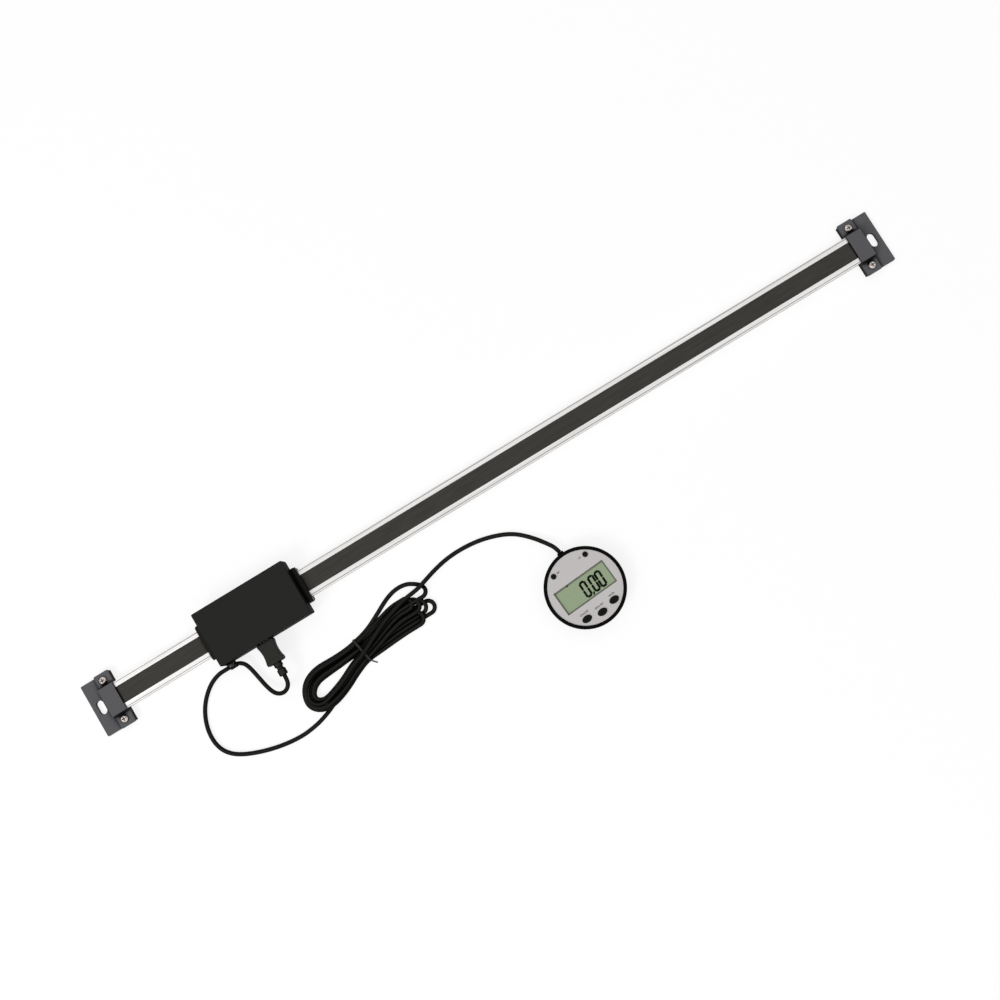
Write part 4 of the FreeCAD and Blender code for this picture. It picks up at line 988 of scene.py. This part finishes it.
def add_readout():
    """Three noughts and a point, and the small dash above."""
    mesh = bmesh.new()
    across = (DIGIT_WIDTH - DIGIT_STROKE) / 2
    along = (DIGIT_HEIGHT - DIGIT_STROKE) / 2
    for x in DIGIT_PLACES:
        for side in (-1, 1):
            add_segment(mesh, (x, side * along), 2 * (across - SEGMENT_GAP), QUARTER_TURN)
            for half in (-1, 1):
                place = (x + side * across, half * along / 2)
                add_segment(mesh, place, along - 2 * SEGMENT_GAP, 0.0)
    lean = Matrix.Identity(4)
    lean[0][1] = math.tan(DIGIT_SLANT)
    bmesh.ops.transform(mesh, matrix=lean, verts=mesh.verts)
    bmesh.ops.translate(mesh, vec=(0, DIGIT_LEVEL, 0), verts=mesh.verts)
    add_segment(mesh, POINT_PLACE, POINT_LENGTH, -POINT_SLANT, POINT_STROKE)
    add_segment(mesh, DASH_PLACE, DASH_LENGTH, QUARTER_TURN, DASH_STROKE)
    raise_faces(mesh, mesh.faces[:], SEGMENT_THICK)
    bmesh.ops.transform(mesh, matrix=display_frame(FILM_TOP), verts=mesh.verts)
    add_piece("lcd_readout", mesh, SWITCHED)


def add_rim(mesh, centre, length, width):
    """A low rounded rim round one key."""
    ring = bmesh.ops.create_circle(mesh, cap_ends=True, segments=RIM_SIDES, radius=0.5)["verts"]
    place = Matrix.Translation((centre.x, centre.y, 0))
    size = Matrix.Diagonal((length + 2 * RIM_WIDTH, width + 2 * RIM_WIDTH, 1, 1))
    bmesh.ops.transform(mesh, matrix=place @ size, verts=ring)
    disc = ring[0].link_faces[0]
    band = bmesh.ops.inset_region(
        mesh, faces=[disc], thickness=RIM_WIDTH, use_boundary=True, use_even_offset=True
    )["faces"]
    bmesh.ops.delete(mesh, geom=[disc], context="FACES")
    lines = raise_faces(mesh, band, RIM_RISE)
    mesh.normal_update()
    edges = [line for line in lines if line.calc_face_angle(0.0) > SHARP_ANGLE]
    round_edges(mesh, edges, RIM_ROUND, RIM_ROUND_STEPS)


def add_rims():
    """The pressed rims of the five key holes."""
    mesh = bmesh.new()
    for name, (length, width) in KEYS.items():
        add_rim(mesh, local_centre(name), length + 2 * KEY_GAP, width + 2 * KEY_GAP)
    bmesh.ops.transform(mesh, matrix=display_frame(FACE_TOP), verts=mesh.verts)
    add_piece("key_rims", mesh, FINISHES["face_grey"])


def add_legends():
    """Plain legends beside the keys, printed on the face."""
    for word, letters, size, (x, y) in LEGENDS:
        text = bpy.data.curves.new("legend_" + word, "FONT")
        text.body = letters
        text.size = size
        text.offset = LEGEND_BOLD
        text.align_x = "CENTER"
        text.align_y = "CENTER"
        text.extrude = LEGEND_THICK
        shape = bpy.data.objects.new("legend_" + word, text)
        data = bpy.data.meshes.new_from_object(shape)
        bpy.data.objects.remove(shape)
        bpy.data.curves.remove(text)
        data.transform(display_frame(FACE_TOP) @ Matrix.Translation((x, y, 0)))
        link_piece("legend_" + word, data, INK)


# Tie round the hank: a flat vinyl-covered wire, its two ends twisted together beside the hank
TIE_PLACE = (0.1826, -0.0622)
TIE_TURN = math.radians(101)
TIE_SPAN = 20.2 * MM
TIE_HEIGHT = 7.1 * MM
TIE_CORNER = 2.6 * MM
TIE_SIDES = 32
TIE_WIDTH = 1.6 * MM
TIE_THICK = 0.5 * MM
TWIST_WIRE = 0.32 * MM
TWIST_SIDES = 10
TWIST_LENGTH = 4.2 * MM
TWIST_TURNS = 1.75
TWIST_STEPS = 28
TWIST_HEADING = math.radians(31)
MERGE_DISTANCE = 0.001 * MM


def add_band(mesh):
    """The ribbon round the strands: a rounded oblong, swept across its width and given its thickness."""
    ring = bmesh.ops.create_circle(mesh, segments=TIE_SIDES, radius=TIE_CORNER)["verts"]
    for vert in ring:
        vert.co.x += math.copysign(TIE_SPAN / 2 - TIE_CORNER, vert.co.x)
        vert.co.y += math.copysign(TIE_HEIGHT / 2 - TIE_CORNER, vert.co.y)
    place = Matrix.Translation((0, TIE_WIDTH / 2, TIE_HEIGHT / 2))
    bmesh.ops.transform(mesh, matrix=place @ Matrix.Rotation(QUARTER_TURN, 4, "X"), verts=ring)
    swept = bmesh.ops.extrude_edge_only(mesh, edges=mesh.edges[:])["geom"]
    far = [item for item in swept if isinstance(item, bmesh.types.BMVert)]
    bmesh.ops.translate(mesh, vec=(0, -TIE_WIDTH, 0), verts=far)
    bmesh.ops.recalc_face_normals(mesh, faces=mesh.faces)
    bmesh.ops.solidify(mesh, geom=mesh.faces[:], thickness=TIE_THICK)


def add_twist(mesh):
    """Both ends of the wire, wound round each other along a short line on the table."""
    laid = (
        Matrix.Translation((-TIE_SPAN / 2, 0, 2 * TWIST_WIRE))
        @ Matrix.Rotation(TWIST_HEADING, 4, "Z")
        @ Matrix.Rotation(-QUARTER_TURN, 4, "Y")
    )
    turned = laid.to_3x3()
    for start in (0.0, math.pi):
        wire = bmesh.ops.create_circle(
            mesh, cap_ends=True, segments=TWIST_SIDES, radius=TWIST_WIRE
        )["verts"]
        aside = Matrix.Rotation(start, 4, "Z") @ Matrix.Translation((TWIST_WIRE, 0, 0))
        bmesh.ops.transform(mesh, matrix=laid @ aside, verts=wire)
        end = wire[0].link_faces[0]
        bmesh.ops.spin(
            mesh,
            geom=[*end.verts, *end.edges, end],
            cent=laid.translation,
            axis=turned @ Vector((0, 0, 1)),
            dvec=turned @ Vector((0, 0, TWIST_LENGTH / TWIST_STEPS)),
            angle=math.tau * TWIST_TURNS,
            steps=TWIST_STEPS,
        )


def add_tie():
    """The tie wire round the hank."""
    mesh = bmesh.new()
    add_band(mesh)
    add_twist(mesh)
    turned = Matrix.Translation((*TIE_PLACE, 0)) @ Matrix.Rotation(TIE_TURN, 4, "Z")
    bmesh.ops.transform(mesh, matrix=turned, verts=mesh.verts)
    bmesh.ops.remove_doubles(mesh, verts=mesh.verts, dist=MERGE_DISTANCE)
    tie = add_piece("hank_twist_tie", mesh, TIE_VINYL)
    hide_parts("hank_tie")


# Studio: a white floor, a soft sky that is brightest overhead, and one broad lamp
MIDDLE = (CAD_BOX[0] + CAD_BOX[1]) / 2
SKY_LEVEL = 1.8
SKY_FALL = 3.0
LAMP_PLACE = (-1.5, -0.75, 2.2)
LAMP_SIZE = 1.0
LAMP_WATTS = 32.0
FLOOR_GLOW = 0.8
FLOOR_SIZE = 6.0
FLOOR_DROP = 0.1 * MM


def background_rays(tree):
    """One for the rays that show the background: the camera's, and those of gloss and glass."""
    path = node(tree, "ShaderNodeLightPath").outputs
    mirrored = node(
        tree,
        "ShaderNodeMath",
        {0: path["Is Glossy Ray"], 1: path["Is Transmission Ray"]},
        operation="MAXIMUM",
    ).outputs["Value"]
    return node(
        tree, "ShaderNodeMath", {0: path["Is Camera Ray"], 1: mirrored}, operation="MAXIMUM"
    ).outputs["Value"]


def light_sky():
    """White where the background shows, and a sky that a colour shows under about as it is written."""
    world = bpy.data.worlds.new("studio")
    bpy.context.scene.world = world
    world.use_nodes = True
    tree = world.node_tree
    way = node(tree, "ShaderNodeTexCoord").outputs["Generated"]
    height = node(tree, "ShaderNodeSeparateXYZ", {"Vector": way}).outputs["Z"]
    above = node(tree, "ShaderNodeMath", {0: height, 1: 0.0}, operation="MAXIMUM").outputs["Value"]
    fall = node(tree, "ShaderNodeMath", {0: above, 1: SKY_FALL}, operation="POWER").outputs["Value"]
    sky = node(tree, "ShaderNodeMath", {0: fall, 1: SKY_LEVEL}, operation="MULTIPLY").outputs["Value"]
    strength = node(
        tree,
        "ShaderNodeMix",
        {"Factor": background_rays(tree), FIRST_VALUE: sky, SECOND_VALUE: 1.0},
        data_type="FLOAT",
    ).outputs[MIXED_VALUE]
    background = tree.nodes["Background"]
    background.inputs["Color"].default_value = linear("ffffff")
    tree.links.new(strength, background.inputs["Strength"])


def hang_lamp():
    """A broad lamp to the left, aimed at the middle of the scale."""
    lamp = bpy.data.lights.new("soft_lamp", "AREA")
    lamp.size = LAMP_SIZE
    lamp.energy = LAMP_WATTS
    holder = bpy.data.objects.new("soft_lamp", lamp)
    aim = (MIDDLE - Vector(LAMP_PLACE)).to_track_quat("-Z", "Y")
    holder.matrix_world = Matrix.Translation(LAMP_PLACE) @ aim.to_matrix().to_4x4()
    bpy.context.scene.collection.objects.link(holder)


def white_paper():
    # White paper sheet: it keeps the object's shadow, weakened by a glow where the background shows
    paper = bpy.data.materials.new("white_paper")
    paper.use_nodes = True
    tree = paper.node_tree
    shader = tree.nodes["Principled BSDF"]
    shader.inputs["Base Color"].default_value = linear("ffffff")
    shader.inputs["Roughness"].default_value = 1.0
    shader.inputs["Specular IOR Level"].default_value = 0.0
    share = node(
        tree, "ShaderNodeMath", {0: background_rays(tree), 1: FLOOR_GLOW}, operation="MULTIPLY"
    ).outputs["Value"]
    glow = node(tree, "ShaderNodeEmission", {"Strength": 1.0}).outputs["Emission"]
    mixed = node(
        tree, "ShaderNodeMixShader", {0: share, 1: shader.outputs["BSDF"], 2: glow}
    ).outputs["Shader"]
    tree.links.new(mixed, tree.nodes["Material Output"].inputs["Surface"])
    return paper


def lay_floor():
    """The sheet of paper that the scale lies on, just under its mounting face."""
    mesh = bmesh.new()
    bmesh.ops.create_grid(mesh, x_segments=1, y_segments=1, size=FLOOR_SIZE / 2)
    bmesh.ops.translate(mesh, vec=(MIDDLE.x, MIDDLE.y, -FLOOR_DROP), verts=mesh.verts)
    data = bpy.data.meshes.new("floor")
    mesh.to_mesh(data)
    mesh.free()
    data.materials.append(white_paper())
    floor = bpy.data.objects.new("floor", data)
    floor.visible_diffuse = False
    bpy.context.scene.collection.objects.link(floor)


place_camera()
bpy.context.scene.view_settings.view_transform = "Standard"
light_sky()
hang_lamp()
lay_floor()
dress_nodes()
add_tie()
add_cable()
add_film()
add_recess_shadow()
add_readout()
add_rims()
add_legends()

bpy.context.view_layer.update()
